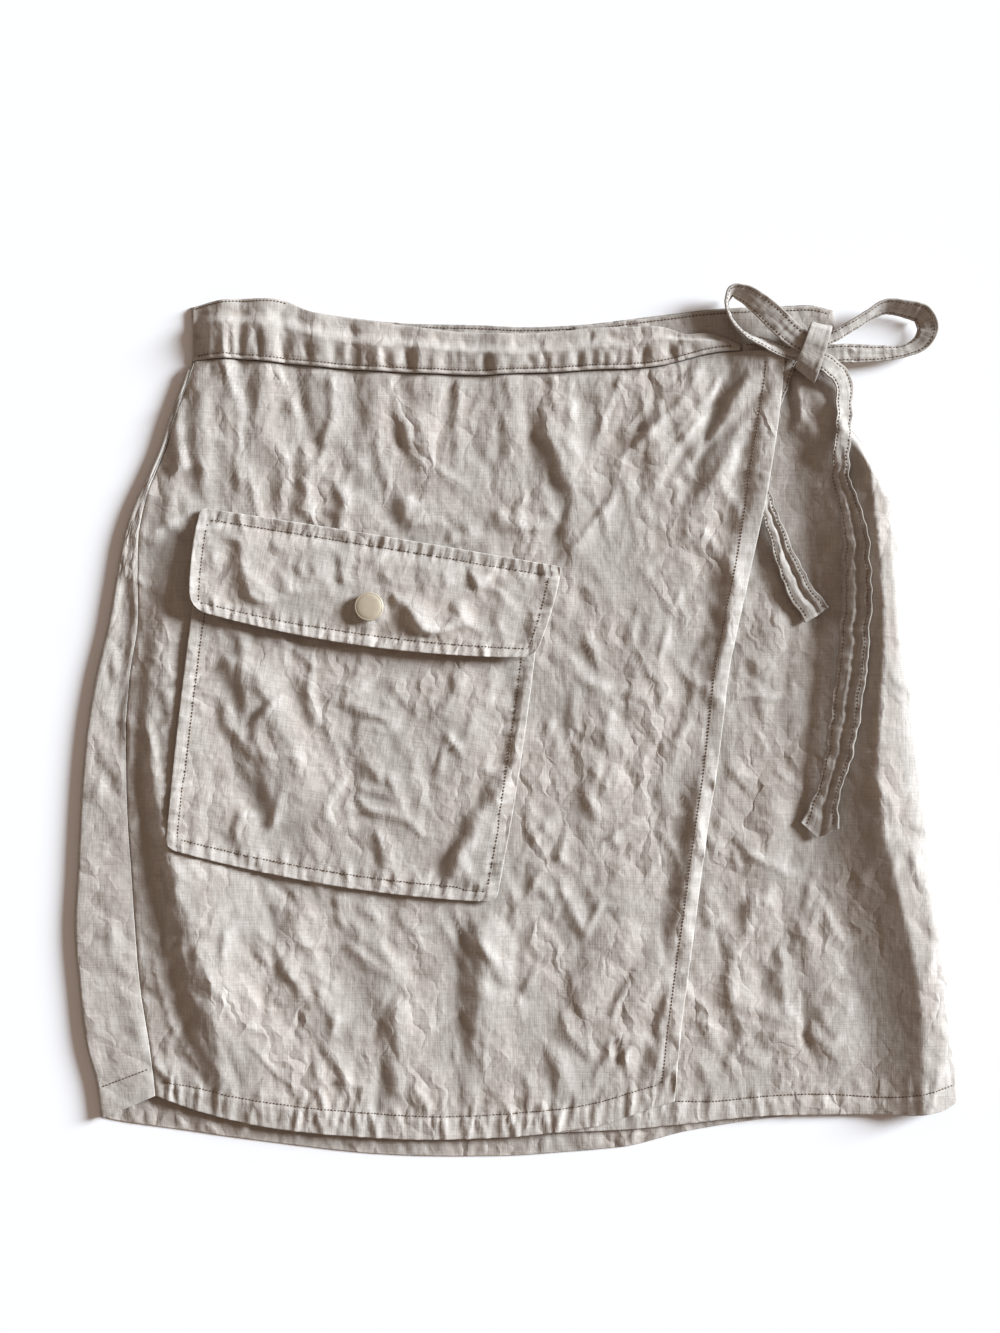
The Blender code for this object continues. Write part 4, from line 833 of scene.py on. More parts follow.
def cloth(name, lower, upper, cut, wear, material, slot_name, *nodes):
    """A closed wall between two grids of points, with a rim round its edge.

    cut is where each point lies on the flat cloth. The grid after it lightens or darkens each
    point: painted highlight on crests and painted shade in dips, with worn crests and rubbed hems.
    """
    rows, cols = lower.shape[:2]
    points = np.concatenate([lower.reshape(-1, 3), upper.reshape(-1, 3)]) * MM
    here = np.arange(rows * cols).reshape(rows, cols)
    a, b = here[:-1, :-1].ravel(), here[:-1, 1:].ravel()
    c, d = here[1:, 1:].ravel(), here[1:, :-1].ravel()
    over = rows * cols
    rim = np.concatenate([here[0], here[1:, -1], here[-1, -2::-1], here[-2:0:-1, 0]])
    after = np.roll(rim, -1)
    faces = np.concatenate(
        [
            np.stack([a, b, c, d], -1),
            np.stack([d, c, b, a], -1) + over,
            np.stack([after, rim, rim + over, after + over], -1),
        ]
    )
    p, q, r, t = (points[faces[:, k]] for k in range(4))
    if np.sum(np.cross(q - p, r - p) * p) + np.sum(np.cross(r - p, t - p) * p) < 0:
        faces = faces[:, ::-1]
    mesh = bpy.data.meshes.new(name)
    mesh.from_pydata(points.tolist(), [], faces.tolist())
    flat = np.zeros((2, rows, cols, 3), np.float32)
    flat[..., :2] = np.asarray(cut, np.float32) * MM
    mesh.attributes.new("cut", "FLOAT_VECTOR", "POINT").data.foreach_set("vector", flat.ravel())
    # lighter and darker points: painted highlight on crests, painted shade in dips, with worn
    # crests and rubbed hems
    rubbed = np.broadcast_to(np.clip(wear, -1, 1), (2, rows, cols))
    mesh.attributes.new("wear", "FLOAT", "POINT").data.foreach_set(
        "value", rubbed.astype(np.float32).ravel()
    )
    return show(mesh, material, slot_name, *nodes)


def soften(grid, times=16):
    """A grid of heights without its small forms."""
    for _ in range(times):
        wide = np.pad(grid, 1, mode="edge")
        grid = (wide[:-2, 1:-1] + wide[2:, 1:-1] + wide[1:-1, :-2] + wide[1:-1, 2:]) / 4
    return grid


def lay_sheet(name, plan, level, relief, turned, grain, material, slot_name, *nodes):
    """A sheet whose top is its solid's top, with its relief and its turned edges."""
    thick = bpy.context.scene.skirt_cloth.thickness / MM
    left, right, top, low = ways(plan)
    edge = sum(rounding(away) for away in (left, right, top, low))
    z = level + WALL / 2 + relief
    upper = np.dstack([plan, z + turned - edge])
    lower = np.dstack([plan, z - thick])
    turn = math.radians(grain)
    cut = np.stack(
        [
            plan[..., 0] * math.cos(turn) + plan[..., 1] * math.sin(turn),
            plan[..., 1] * math.cos(turn) - plan[..., 0] * math.sin(turn),
        ],
        -1,
    )
    # crests of the relief drawn lighter and its dips darker, painted highlight and painted shade
    # along with worn crests; turned edges lighter, as rubbed
    rubbed = (relief - soften(relief)) * 1.1 + turned * 0.9
    return cloth(name, lower, upper, cut, rubbed, material, slot_name, *nodes)


def crushed(x, y, count, length, height, lean, spread, seed, box=None):
    """Small creases strewn over a piece: where they run, how long and how sharp they are.

    lean is the way that most of them run, in degrees from straight down to the right.
    """
    rng = np.random.default_rng(seed)
    box = box or (x.min(), x.max(), y.min(), y.max())
    total = np.zeros_like(x)
    for _ in range(count):
        cx, cy = rng.uniform(*box[:2]), rng.uniform(*box[2:])
        half = length * rng.uniform(0.4, 1.4) / 2
        turn = math.radians(lean + spread * rng.normal())
        tall = height * rng.uniform(0.3, 1) * rng.choice((-0.8, 1))
        left, right = rng.uniform(2, 4.2), rng.uniform(3.6, 8.5)
        dx, dy = half * math.sin(turn), -half * math.cos(turn)
        bend = rng.uniform(-0.12, 0.12) * half
        near = (np.abs(x - cx) < half + 13) & (np.abs(y - cy) < half + 13)
        if near.any():
            total[near] += crease(
                x[near], y[near], cx - dx, cy - dy, cx + dx, cy + dy, bend, tall, left, right
            )
    return total


def wrinkled(x, y, steep, climbs, sharp, bumps, *strewn):
    """Slopes, creases, crumple and strewn small creases of one piece, by their numbers."""
    share, seed, *form = bumps
    relief = steep * slopes(x, y, climbs) + creases(x, y, sharp)
    relief += share * patchy(x, y, seed) * crumple(x, y, *form)
    for row in strewn:
        relief += crushed(x, y, *row)
    return relief


def patchy(x, y, seed):
    """Where the cloth is crushed (1) and where it stayed calm (near 0)."""
    return 0.25 + 0.75 * ease(0.55 + 0.9 * noise(x, y, 62, seed))


def front_relief(x, y):
    """Slopes, creases and crumple of the front, quieter under the pocket."""
    size = bpy.context.scene.skirt_cloth.crumple / MM
    band = ease((along(WAIST, "seam", x) - 20 - y) / 70)
    bumps = size * (0.7 + 0.3 * band) * patchy(x, y, 5) * crumple(x, y, 17, 11)
    inside = ease((x + 189) / 12) * ease((6 - x) / 14) * ease((y + 80) / 14)
    inside = inside * ease((patch_top(POCKET_EDGES, x) + 6 - y) / 14)
    shape = slopes(x, y, FRONT_SLOPES) + creases(x, y, FRONT_CREASES) + bumps
    shape += (0.45 + 0.55 * band) * crushed(x, y, 760, 34, 1.25, 18, 30, 12, FRONT_BOX)
    shape += crushed(x, y, 420, 14, 0.5, 20, 50, 14, FRONT_BOX)
    # long creases hang from the band, and towards the bow they point at the knot
    near_bow = ease((x - 10) / 60)
    hanging = crushed(x, y, 240, 74, 1.5, 6, 11, 13, FRONT_BOX)
    pulled = crushed(x, y, 420, 80, 1.9, -30, 10, 15, FRONT_BOX)
    shape += (1 - band) * ((1 - near_bow) * hanging + near_bow * pulled)
    return np.maximum(shape, -1.6) * (1 - 0.8 * inside)


def hem_gap(x, y, column):
    """How far above the hem's edge a point is, in widths of the stitched hem."""
    edge = along(HEM, column, x)
    wide = along(HEM_STITCH, column, x) - edge
    return (y - edge) / np.maximum(wide, 3), wide


def hem_turned(gap):
    """How far the hem stands up between its edge and its stitching."""
    return TURNED * (1 - ease((gap - HEM_WIDTHS) * 9))


def ridge_relief(x, y):
    """What sharpens the long ridge of the right side: its crest and its hollow left slope."""
    crest = along(SIDE_RIDGE, "crest", y)
    t = np.clip((crest - x) / along(SIDE_RIDGE, "left", y), 0, 1)
    hollow = RIDGE_LIFT * (1 - t) ** 1.7 - mound(t)
    height = along(SIDE_RIDGE, "height", y)
    wide = np.maximum(along(SIDES, "right", y) - crest, 1)
    drop = np.minimum(0.75, 0.22 * wide / np.maximum(height, 1))
    right = RIDGE_LIFT - drop * np.clip((x - crest) / wide, 0, 1)
    right = right - mound((x - crest) / along(SIDE_RIDGE, "right", y))
    return height * np.where(x < crest, hollow, right)


def under_shape(x, y):
    """The large forms that the underlap has beyond its solid's, and the tie's ends with it."""
    return ridge_relief(x, y) + slopes(x, y, HOLLOW_SLOPES)


def tail_base(x, y):
    """Height of the layer that the loose ends of the tie lie on."""
    return under_z(x, y) + np.maximum(under_shape(x, y), 0)


def tail_away(x, y, rows):
    """How far each point is from a loose end of the tie."""
    rows = table(STRAP_COLUMNS, rows)
    gaps = []
    for k in range(len(rows["x"]) - 1):
        ax, ay = rows["x"][k], rows["y"][k]
        dx, dy = rows["x"][k + 1] - ax, rows["y"][k + 1] - ay
        t = np.clip(((x - ax) * dx + (y - ay) * dy) / (dx * dx + dy * dy), 0, 1)
        gaps.append(np.hypot(x - ax - t * dx, y - ay - t * dy) - rows["width"][k] / 2)
    return np.min(gaps, axis=0)


def build_overlap(material):
    """The front panel that is wrapped over, with its hem and its turned wrap edge."""
    seam = lambda x: along(WAIST, "seam", x) - SEAM / 2
    y_left, y_right = SEAM_TOP, 193.6
    edges = (
        line_edge(side_seam(y_left) + SEAM / 2, along(SIDES, "wrap", y_right), seam),
        line_edge(-190.6, 82, lambda x: along(HEM, "over", x)),
        side_edge(y_left, SEAM_LOW, lambda y: side_seam(y) + SEAM / 2),
        side_edge(y_right, -200.4, lambda y: along(SIDES, "wrap", y)),
    )
    step = bpy.context.scene.skirt_cloth.grid / MM
    plan = patch(*edges, stations(305, step), stations(395, step * 1.08))
    x, y = plan[..., 0], plan[..., 1]
    left, right, top, _ = ways(plan)
    gap, wide = hem_gap(x, y, "over")
    relief = front_relief(x, y) * ease(top / 7)
    relief = relief * (1 - 0.45 * (gap < 1))
    relief = relief - 0.3 * (1 - ease(top / 3.2)) * ease(left / 8) - 0.4 * mound(left / 1.6)
    relief += ribs(x, gap * wide, 4.8, 1.7, 10.5, 13, 21) * ease(left / 9)
    relief += stitched((gap - 1) * wide, 0)
    turn = along(WRAP_TURN, "width", y)
    relief += ribs(y, right + 12 - turn, 7, 0.7, 12, 12, 22)
    relief += stitched(right, turn)
    relief += ribs(x, top + 1, 5.4, 0.9, 3, 20, 23) * ease(top / 4)
    turned = hem_turned(gap) + TURNED * (1 - ease((right - turn) / 0.9))
    return lay_sheet(
        "overlap_cloth", plan, over_z(x, y), relief, np.minimum(turned, TURNED), 0,
        material, "linen_front", "overlap_front",
    )


def build_underlap(material, band_material):
    """The front panel that is wrapped under, and the band that is sewn to it."""
    cloth_look = bpy.context.scene.skirt_cloth
    step = cloth_look.grid / MM
    inner = lambda y: UNDER_INNER[0] + (UNDER_INNER[1] - UNDER_INNER[0]) * ((184 - y) / 400)
    right = lambda y: along(SIDES, "right", y)
    edges = (
        line_edge(inner(175), 166, lambda x: back_seam(x) - SEAM / 2 - 1),
        line_edge(inner(-217), 232.2, lambda x: along(HEM, "under", x)),
        side_edge(175, -217.2, inner),
        side_edge(183, -197.8, right),
    )
    shown = np.linspace(0.22, 1 - 0.006, 104)
    across = np.concatenate([[0, 0.001], np.linspace(0.012, 0.2, 14), shown, [0.9975, 0.9992, 1]])
    plan = patch(*edges, across, stations(395, step * 1.15))
    x, y = plan[..., 0], plan[..., 1]
    _, away, top, _ = ways(plan)
    gap, wide = hem_gap(x, y, "under")
    size = cloth_look.crumple / MM
    relief = wrinkled(
        x, y, 1, UNDER_SLOPES, UNDER_CREASES, (0.9 * size, 33, 18, 31, 0.1),
        (520, 32, 1.1, 24, 32, 34), (260, 15, 0.6, 20, 50, 37),
    )
    relief = relief * ease(top / 9) * ease(away / 3) * (1 - 0.5 * (gap < 1))
    # the slope up to the long ridge is pulled smooth
    hollow = mound((along(SIDE_RIDGE, "crest", y) - 17 - x) / 27)
    relief = relief * (1 - 0.8 * hollow)
    # it stays clear of the layers above it: the overlap and the loose ends of the tie
    covered = ease((along(SIDES, "wrap", y) - 4 - x) / 14)
    relief = relief * (1 - 0.8 * covered)
    spare = np.clip(np.minimum(tail_away(x, y, TAIL_LONG), tail_away(x, y, TAIL_SHORT)), 0, 12)
    relief = np.minimum(relief, 0.7 + 0.4 * spare)
    relief += under_shape(x, y) * ease(top / 9) * ease(away / 3) * (1 - covered)
    relief = np.maximum(relief, -1.2 - 0.6 * (under_z(x, y) - UNDER_Z))
    relief += ribs(x, gap * wide, 6.4, 1.6, 10.5, 14, 32)
    relief += stitched((gap - 1) * wide, 0)
    lay_sheet(
        "underlap_cloth", plan, under_z(x, y), relief, hem_turned(gap), 0,
        material, "linen_front", "underlap_front",
    )

    line = np.linspace(inner(175) + 6, 166, 90)
    down = stations(BAND, 2.2)[:, None]
    y = along(WAIST, "back", line) - 1 - down * (BAND - SEAM / 2)
    plan = np.dstack([np.broadcast_to(line, y.shape), y])
    x, y = plan[..., 0], plan[..., 1]
    level = SIDE_Z + (UNDER_Z - SIDE_Z) * ease((166 - x) / 8)
    _, away, top, low = ways(plan)
    relief = 0.25 * crumple(x, y, 13, 35) * ease(away / 4) * ease(low / 4)
    relief += ribs(x, top, 5.5, 0.3, 2, 9, 36) + stitched(top, 1.9)
    lay_sheet(
        "underlap_band_cloth", plan, level, relief, 0 * x, 0,
        band_material, "linen_back", "underlap_waistband",
    )


def build_front_band(material):
    """The puckered band of the overlap, creased along its length."""
    x0, x1 = -171.4, 116.4
    x = np.linspace(x0, x1, 262)
    x = np.concatenate([[x0, x0 + 0.13, x0 + 0.42], x[1:-1], [x1 - 0.3, x1]])
    seam = along(WAIST, "seam", x) + SEAM / 2
    crease_y, top_y = along(WAIST, "crease", x), along(WAIST, "front", x)
    low = np.concatenate([[0, 0.12, 0.4, 0.9], np.linspace(1.4, 15, 15)]) / 15
    high = np.concatenate([np.linspace(0, 1, 10)[1:-1], [0.97, 0.99, 1]])
    y = [crease_y + t * (top_y - crease_y) for t in high[::-1]]
    y += [seam + t * (crease_y - seam) for t in low[::-1]]
    y = np.array(y)
    plan = np.dstack([np.broadcast_to(x, y.shape), y])
    x, y = plan[..., 0], plan[..., 1]
    left, _, top, away = ways(plan)
    lower = y < along(WAIST, "crease", x)
    relief = creases(x, y, BAND_CREASES) * ease(top / 2.5)
    relief += 0.3 * crumple(x, y, 11, 41, 0.1) * ease(away / 5) * ease(top / 2)
    relief += ribs(x, away, 4.2, 0.3, 3, 11, 42) * ease(left / 3)
    # the edge that is topstitched just above the seam stands up like a cord
    relief += 0.25 * mound((away - 0.9) / 1.3) - 0.3 * mound((away - 2.5) / 1.1)
    shut = along(WAIST, "front", x) - along(WAIST, "seam", x)
    relief = relief * ease(shut / 7) * ease(left / 2)
    relief = np.where(lower, relief, np.minimum(relief, 0.5))
    return lay_sheet(
        "front_band_cloth", plan, band_z(x, y), relief, 0 * x, -2,
        material, "linen_front", "front_waistband",
    )


def build_back(material, band_material):
    """The back panel lies on the table and comes round the left side to its seam."""
    outer = ROLL + WALL / 2
    low_y, top_y = -208.6, 184.2
    down = stations(392, 2.4)
    left = lambda y: along(SIDES, "left", y) + outer
    floor = patch(
        line_edge(166, left_top(), lambda x: back_seam(x) - SEAM / 2),
        line_edge(232, float(left(low_y)), lambda x: along(HEM, "back", x)),
        side_edge(182.6, -197, lambda y: along(SIDES, "right", y)),
        side_edge(top_y, low_y, left),
        np.concatenate([[0, 0.0006, 0.002], np.linspace(0.006, 1, 225)]),
        down,
    )
    x, y = floor[..., 0], floor[..., 1]
    right_away, _, top, away = ways(floor)
    lift = 0.45 * np.clip(0.4 + crumple(x, y, 24, 51), 0, 1.4)
    lift = lift * ease(right_away / 12) * ease(away / 12) * ease(top / 12)
    lift = lift * ease((x - left(y)) / 14)
    hem = ribs(x, away, 6.5, 1.6, 5, 12, 52) * ease(away / 0.8)
    hem = np.clip(hem, -0.3, 1.1) * ease(right_away / 4)
    edge = rounding(away) + rounding(right_away) + rounding(top)
    outside = [np.dstack([floor, lift])]
    inside = [np.dstack([floor, lift + BACK_WALL + hem - edge])]
    # painted shade and highlight: the hem's puckers lighter on their crests and darker between
    # them; the panel a little darker all over
    shade_and_tone_columns = [hem / 1.2 - 0.2]

    def column(y, x, z, away_x, away_z, rubbed=0):
        """Adds one more line of points down the panel, to both of its faces."""
        for grid, half in ((outside, WALL / 2), (inside, WALL / 2 - BACK_WALL)):
            points = np.stack([x + away_x * half, y, z + away_z * half], -1)
            grid.append(points[:, None])
        shade_and_tone_columns.append(np.broadcast_to(rubbed, y.shape)[:, None])

    # the side fold, then the lip that rises to the side seam
    y = top_y + (low_y - top_y) * down
    sunk = lambda y: 0.2 * ease((side_seam(y) - left(y)) / 12)
    lip_edge = LIP_Z - sunk(y)
    rise = (lip_edge - FLOOR_Z) / 2
    for a in np.radians(np.linspace(-78, 90, 11)):
        turn_x, turn_z = -math.cos(a), math.sin(a)
        column(y, left(y) + ROLL * turn_x, FLOOR_Z + rise * (1 + turn_z), turn_x, turn_z)
    seam_y = SEAM_TOP + (SEAM_LOW - SEAM_TOP) * down
    seam_y[0] = top_y
    span = np.concatenate([np.linspace(0, 1, 15)[1:-1], [0.985, 1]])
    for s in span:
        y = (1 - s) * (top_y + (low_y - top_y) * down) + s * seam_y
        x = left(y) + s * (side_seam(y) - SEAM / 2 - left(y))
        x[0] -= SEAM * s
        wave = front_relief(x, y) * ease(s / 0.35)
        along_hem = 1 - ease((y - y[-1]) / 11)
        wave = wave * (1 - along_hem) + 0.3 * along_hem
        groove = 0.5 * mound((side_seam(y) - x) / 1.6) * ease((x - left(y)) / 10)
        z = LIP_Z - sunk(y) * (1 - ease(s / 0.9)) + wave - groove
        # the lip a little lighter, its crests lighter still and its dips darker: painted highlight
        # and painted shade
        column(y, x, z, 0, 1, 0.1 + wave * 0.15)
    outside, inside = np.hstack(outside), np.hstack(inside)
    run = way_along(outside[len(outside) // 2])
    cut = np.stack([np.broadcast_to(run, outside.shape[:2]), outside[..., 1]], -1)
    cloth(
        "back_cloth", outside, inside, cut, np.hstack(shade_and_tone_columns), material,
        "linen_back", "back_panel",
    )

    top = lambda x: along(WAIST, "back", x)
    plan = patch(
        line_edge(-172.4, 166, top),
        line_edge(left_top(), 166, lambda x: back_seam(x) + SEAM / 2),
        side_edge(217.4, 184.6, lambda y: along(SIDES, "left", y) + 0.2),
        side_edge(215.8, 182.9, lambda y: np.full_like(y, 166)),
        stations(338, 1.7),
        stations(BAND, 1.7),
    )
    # its lower edge runs straight between the same points as the panel below it
    join = np.linspace(left_top(), 166, 13)
    shift = np.interp(plan[-1, :, 0], join, back_seam(join)) + SEAM / 2 - plan[-1, :, 1]
    plan[..., 1] += shift * ease(np.linspace(-0.5, 1, len(plan)))[:, None]
    x, y = plan[..., 0], plan[..., 1]
    _, right_away, high, away = ways(plan)
    relief = 0.3 * crumple(x, y, 14, 55) * ease(away / 4) * ease(right_away / 3)
    relief += ribs(x, high, 5, 0.4, 2, 9, 56) + stitched(high, 1.9)
    lay_sheet(
        "back_band_cloth", plan, 0 * x + FLOOR_Z, np.clip(relief, -0.3, 0.6), 0 * x,
        2, band_material, "linen_back", "back_waistband",
    )


def flap_low(x):
    """The flap's lower edge at x."""
    x1, y1, x0, y0, bow = FLAP_EDGES[2][:5]
    s = np.clip((x - x0) / (x1 - x0), 0, 1)
    return y0 + (y1 - y0) * s - bow * 4 * s * (1 - s)


def build_pocket(material):
    """The patch pocket and the flap that is sewn on above it."""
    cloth_look = bpy.context.scene.skirt_cloth
    step = cloth_look.grid / MM
    size = cloth_look.crumple / MM
    plan = patch(*patch_edges(POCKET_EDGES), stations(176, step), stations(164, step))
    x, y = plan[..., 0], plan[..., 1]
    left, right, top, low = ways(plan)
    sides = np.minimum(left, right)
    relief = wrinkled(
        x, y, 1.15, POCKET_SLOPES, POCKET_CREASES, (0.9 * size, 60, 16, 61),
        (180, 28, 1.1, 24, 34, 71), (90, 14, 0.6, 20, 50, 73),
    )
    edge = np.minimum(sides, low)
    relief = relief * ease(edge / 8)
    hidden = ease((y - flap_low(x) + 5) / 12)
    relief = np.maximum(relief, -1) * (1 - 0.8 * hidden)
    relief += ribs(y, left, 4.4, 1.1, 6.5, 8, 62) * ease(low / 6)
    relief += ribs(y, right, 4.4, 1.2, 6.5, 8, 63) * ease(low / 6)
    relief += ribs(x, low, 4.4, 1.5, 7, 9, 64) * ease(sides / 6)
    relief += stitched(left, 6.5) + stitched(right, 6.5) + stitched(low, 7)
    turned = PATCH_TURNED * (1 - ease((edge - 6.2) / 0.8))
    lay_sheet(
        "pocket_cloth", plan, pocket_z(x, y), relief, turned, -8.3,
        material, "linen_front", "pocket",
    )

    plan = patch(*patch_edges(FLAP_EDGES), stations(188, step * 0.86), stations(50, step * 0.8))
    x, y = plan[..., 0], plan[..., 1]
    left, right, top, low = ways(plan)
    sides = np.minimum(left, right)
    relief = wrinkled(
        x, y, 1.2, FLAP_SLOPES, FLAP_CREASES, (0.7 * size, 65, 15, 66),
        (66, 24, 1, 22, 34, 72), (36, 13, 0.6, 20, 50, 74),
    )
    relief = np.maximum(relief, -1.3)
    cap = np.hypot(x - SNAP_AT[0], y - SNAP_AT[1])
    edge = np.minimum(np.minimum(sides, top), low)
    relief = relief * ease(edge / 8)
    relief = relief * ease((cap - 7.5) / 7)
    relief += ribs(x, top, 4, 1.6, 6, 6, 67) * ease(sides / 5)
    relief += ribs(x, low, 4, 1.6, 6, 7, 68) * ease(sides / 5)
    relief += ribs(y, left, 4.2, 1.2, 6, 6, 69) * ease(low / 5) * ease(top / 5)
    relief += ribs(y, right, 4.2, 1.2, 6, 6, 70) * ease(low / 5) * ease(top / 5)
    relief += stitched(edge, PATCH_STITCH)
    turned = PATCH_TURNED * (1 - ease((edge - 5.6) / 0.8))
    lay_sheet(
        "flap_cloth", plan, flap_z(x, y), relief, turned, -9.3,
        material, "linen_front", "pocket_flap",
    )


def build_strap(name, rows, step, material, *nodes, height=None, point=0, lean=0, seed=0):
    """A strap of the tie along its table of sections, with its stitched edges."""
    level_knot = name == "knot_cloth"
    thick = bpy.context.scene.skirt_tie.thickness / MM
    rows = table(STRAP_COLUMNS, rows)
    rows["way"] = way_along(np.stack([rows["x"], rows["y"], rows["z"]], -1))
    t = stations(rows["way"][-1], step) * rows["way"][-1]
    x, y, z, width, roll, fold_depth = (along(rows, c, t, "way") for c in STRAP_COLUMNS.split())
    spine = np.stack([x, y, z], -1)
    ahead = np.gradient(spine, t, axis=0)
    ahead /= np.linalg.norm(ahead, axis=1)[:, None]
    flat = np.cross(ahead, (0, 0, 1))
    steep = np.linalg.norm(flat, axis=1)[:, None]
    flat = np.where(steep > 0.25, flat / np.maximum(steep, 1e-6), 0)
    if level_knot:
        # round the knot the strap's width keeps level, turned in plan by the roll column
        turn = np.radians(roll)
        flat = np.stack([np.cos(turn), np.sin(turn), 0 * turn], -1)
        roll = 0 * roll
    up = np.cross(flat, ahead)
    up /= np.linalg.norm(up, axis=1)[:, None]
    r = np.radians(roll)[:, None]
    wide = flat * np.cos(r) + up * np.sin(r)
    out = up * np.cos(r) - flat * np.sin(r)
    lanes = np.array([-1, -0.97, -0.9, -0.8, -0.7, -0.58, -0.42, -0.28, -0.14, 0])
    lanes = np.concatenate([lanes, -lanes[-2::-1]])
    lane = lanes[None, :, None]
    crease_dent = (0.5 - 2.2 * mound((lane + 0.12) / 0.26)) * fold_depth[:, None, None] * 0.6
    mid = spine[:, None] + wide[:, None] * lane * width[:, None, None] / 2
    sway = noise(t, 0 * t, 7, 90 + seed) * ease(t / 9) * (height is not None)
    mid = mid + wide[:, None] * sway[:, None, None]
    if point:
        share = np.clip((t - t[-1] + 14) / 14, 0, 1)[:, None, None]
        mid = mid + ahead[:, None] * point * share * (1 - np.abs(lane))
    run = t[:, None] + 0 * lane[..., 0]
    side = lane[..., 0] * width[:, None] / 2
    ripple = 0.3 * noise(run, side * 2.2, 6, 80 + seed)
    ripple = ripple + 0.3 * ribs(run, 2 + 0 * run, 4.4, 1.3, 2, 9, 81 + seed)
    groove = -0.22 * mound((np.abs(lane[..., 0]) - 0.74) / 0.13)
    edge = rounding((1 - np.abs(lane[..., 0])) * width[:, None] / 2, 0.35)
    ends = rounding(t, 0.3)[:, None] + rounding(t[-1] - t, 0.3)[:, None]
    # the first stretch of a loose end is turned towards the light
    tilt = lean * ease(t / 8) * (1 - ease((t - 52) / 20))
    top = (crease_dent[..., 0] + ripple + groove + side * tilt[:, None])[..., None]
    if height is not None:
        # a loose end lies on the layer below it
        mid[..., 2] += height(mid[..., 0], mid[..., 1]) + WALL + LAY + AIR
        out = np.broadcast_to((0, 0, 1), out.shape)
    base = out[:, None]
    upper = mid + base * (top + thick / 2 - (edge + ends)[..., None])
    lower = mid + base * (np.minimum(top, 0) - thick / 2 + edge[..., None])
    cut = np.stack([side, run], -1)
    # painted shade: the strap's outermost edges and its stitch grooves drawn darker; painted
    # highlight: its ripples lighter on their crests
    rubbed = (ripple + groove) * 1.4 - 0.7 * (np.abs(lane[..., 0]) > 0.95)
    obj = cloth(name, lower, upper, cut, rubbed, material, "linen_tie", *nodes)
    for edge_lane in (-0.74, 0.74):
        at = int(np.argmin(np.abs(lanes - edge_lane)))
        THREADS.append((name, upper[3:-3, at], out[3:-3]))
    return obj


# ---------------- sewing thread and snap
def select_faces(obj, wanted):
    """Selects, in edit mode, the faces that a test on their centre and normal picks."""
    mesh = bmesh.from_edit_mesh(obj.data)
    for face in mesh.faces:
        face.select_set(bool(wanted(face.calc_center_median(), face.normal)))
    mesh.select_flush_mode()
    bmesh.update_edit_mesh(obj.data)


def start_piece(name, **sizes):
    """A cylinder to shape, alone in the selection."""
    bpy.ops.object.select_all(action="DESELECT")
    bpy.ops.mesh.primitive_cylinder_add(**sizes)
    obj = bpy.context.object
    obj.name = obj.data.name = name
    bpy.ops.object.mode_set(mode="EDIT")
    bpy.ops.mesh.select_mode(type="FACE")
    bpy.ops.mesh.select_all(action="DESELECT")
    return obj


def one_stitch():
    """A single stitch, 1 long and 1 thick, whose two ends dive into the cloth."""
    obj = start_piece("stitch", vertices=6, radius=0.5, depth=0.5, rotation=(0, 1.5708, 0))
    for way in (-1, 1):
        select_faces(obj, lambda centre, normal, way=way: normal.z * way > 0.9)
        bpy.ops.mesh.extrude_region_move()
        bpy.ops.transform.translate(value=(0.25 * way, 0, -0.22))
        bpy.ops.transform.resize(value=(1, 0.5, 0.5))
        bpy.ops.mesh.select_all(action="DESELECT")
    bpy.ops.object.mode_set(mode="OBJECT")
    obj.data.transform(obj.matrix_world)
    points = np.array([v.co for v in obj.data.vertices])
    faces = [tuple(p.vertices) for p in obj.data.polygons]
    bpy.data.objects.remove(obj)
    return points, faces


def lay_stitches(name, lines, material, slot_name, pitch):
    """Copies of the one stitch along lines of points, each line with its surface normals."""
    sewing = bpy.context.scene.skirt_sewing
    unit, unit_faces = one_stitch()
    size = np.array((pitch * sewing.share, sewing.thread, sewing.thread * 0.8))
    points, faces = [], []
    for line, up in lines:
        line = line * MM
        way = way_along(line)
        for s in np.arange(pitch * 0.2, way[-1] - pitch, pitch):
            ends = [
                np.array([np.interp(t, way, line[:, k]) for k in range(3)])
                for t in (s, s + pitch)
            ]
            normal = np.array([np.interp(s + pitch / 2, way, up[:, k]) for k in range(3)])
            ahead = ends[1] - ends[0]
            ahead /= np.linalg.norm(ahead)
            normal -= ahead * (normal @ ahead)
            normal /= np.linalg.norm(normal)
            frame_axes = np.stack([ahead, np.cross(normal, ahead), normal])
            centre = (ends[0] + ends[1]) / 2 + normal * sewing.thread * 0.12
            base = sum(len(p) for p in points)
            points.append((unit * size) @ frame_axes + centre)
            faces += [tuple(base + i for i in face) for face in unit_faces]
    mesh = bpy.data.meshes.new(name)
    mesh.from_pydata(np.concatenate(points).tolist(), [], faces)
    return show(mesh, material, slot_name)


def on_surface(piece, plan):
    """Points of a line laid onto a finished piece from above, and the normals there."""
    surface = BVHTree.FromObject(bpy.data.objects[piece], bpy.context.evaluated_depsgraph_get())
    line, up = [], []
    for x, y in plan:
        hit, normal, _, _ = surface.ray_cast(Vector((x * MM, y * MM, 0.1)), Vector((0, 0, -1)))
        if hit is not None:
            line.append(np.array(hit) / MM)
            up.append(np.array(normal))
    if len(line) < 2:
        raise RuntimeError(f"no cloth below the stitches of {piece}")
    return np.array(line), np.array(up)


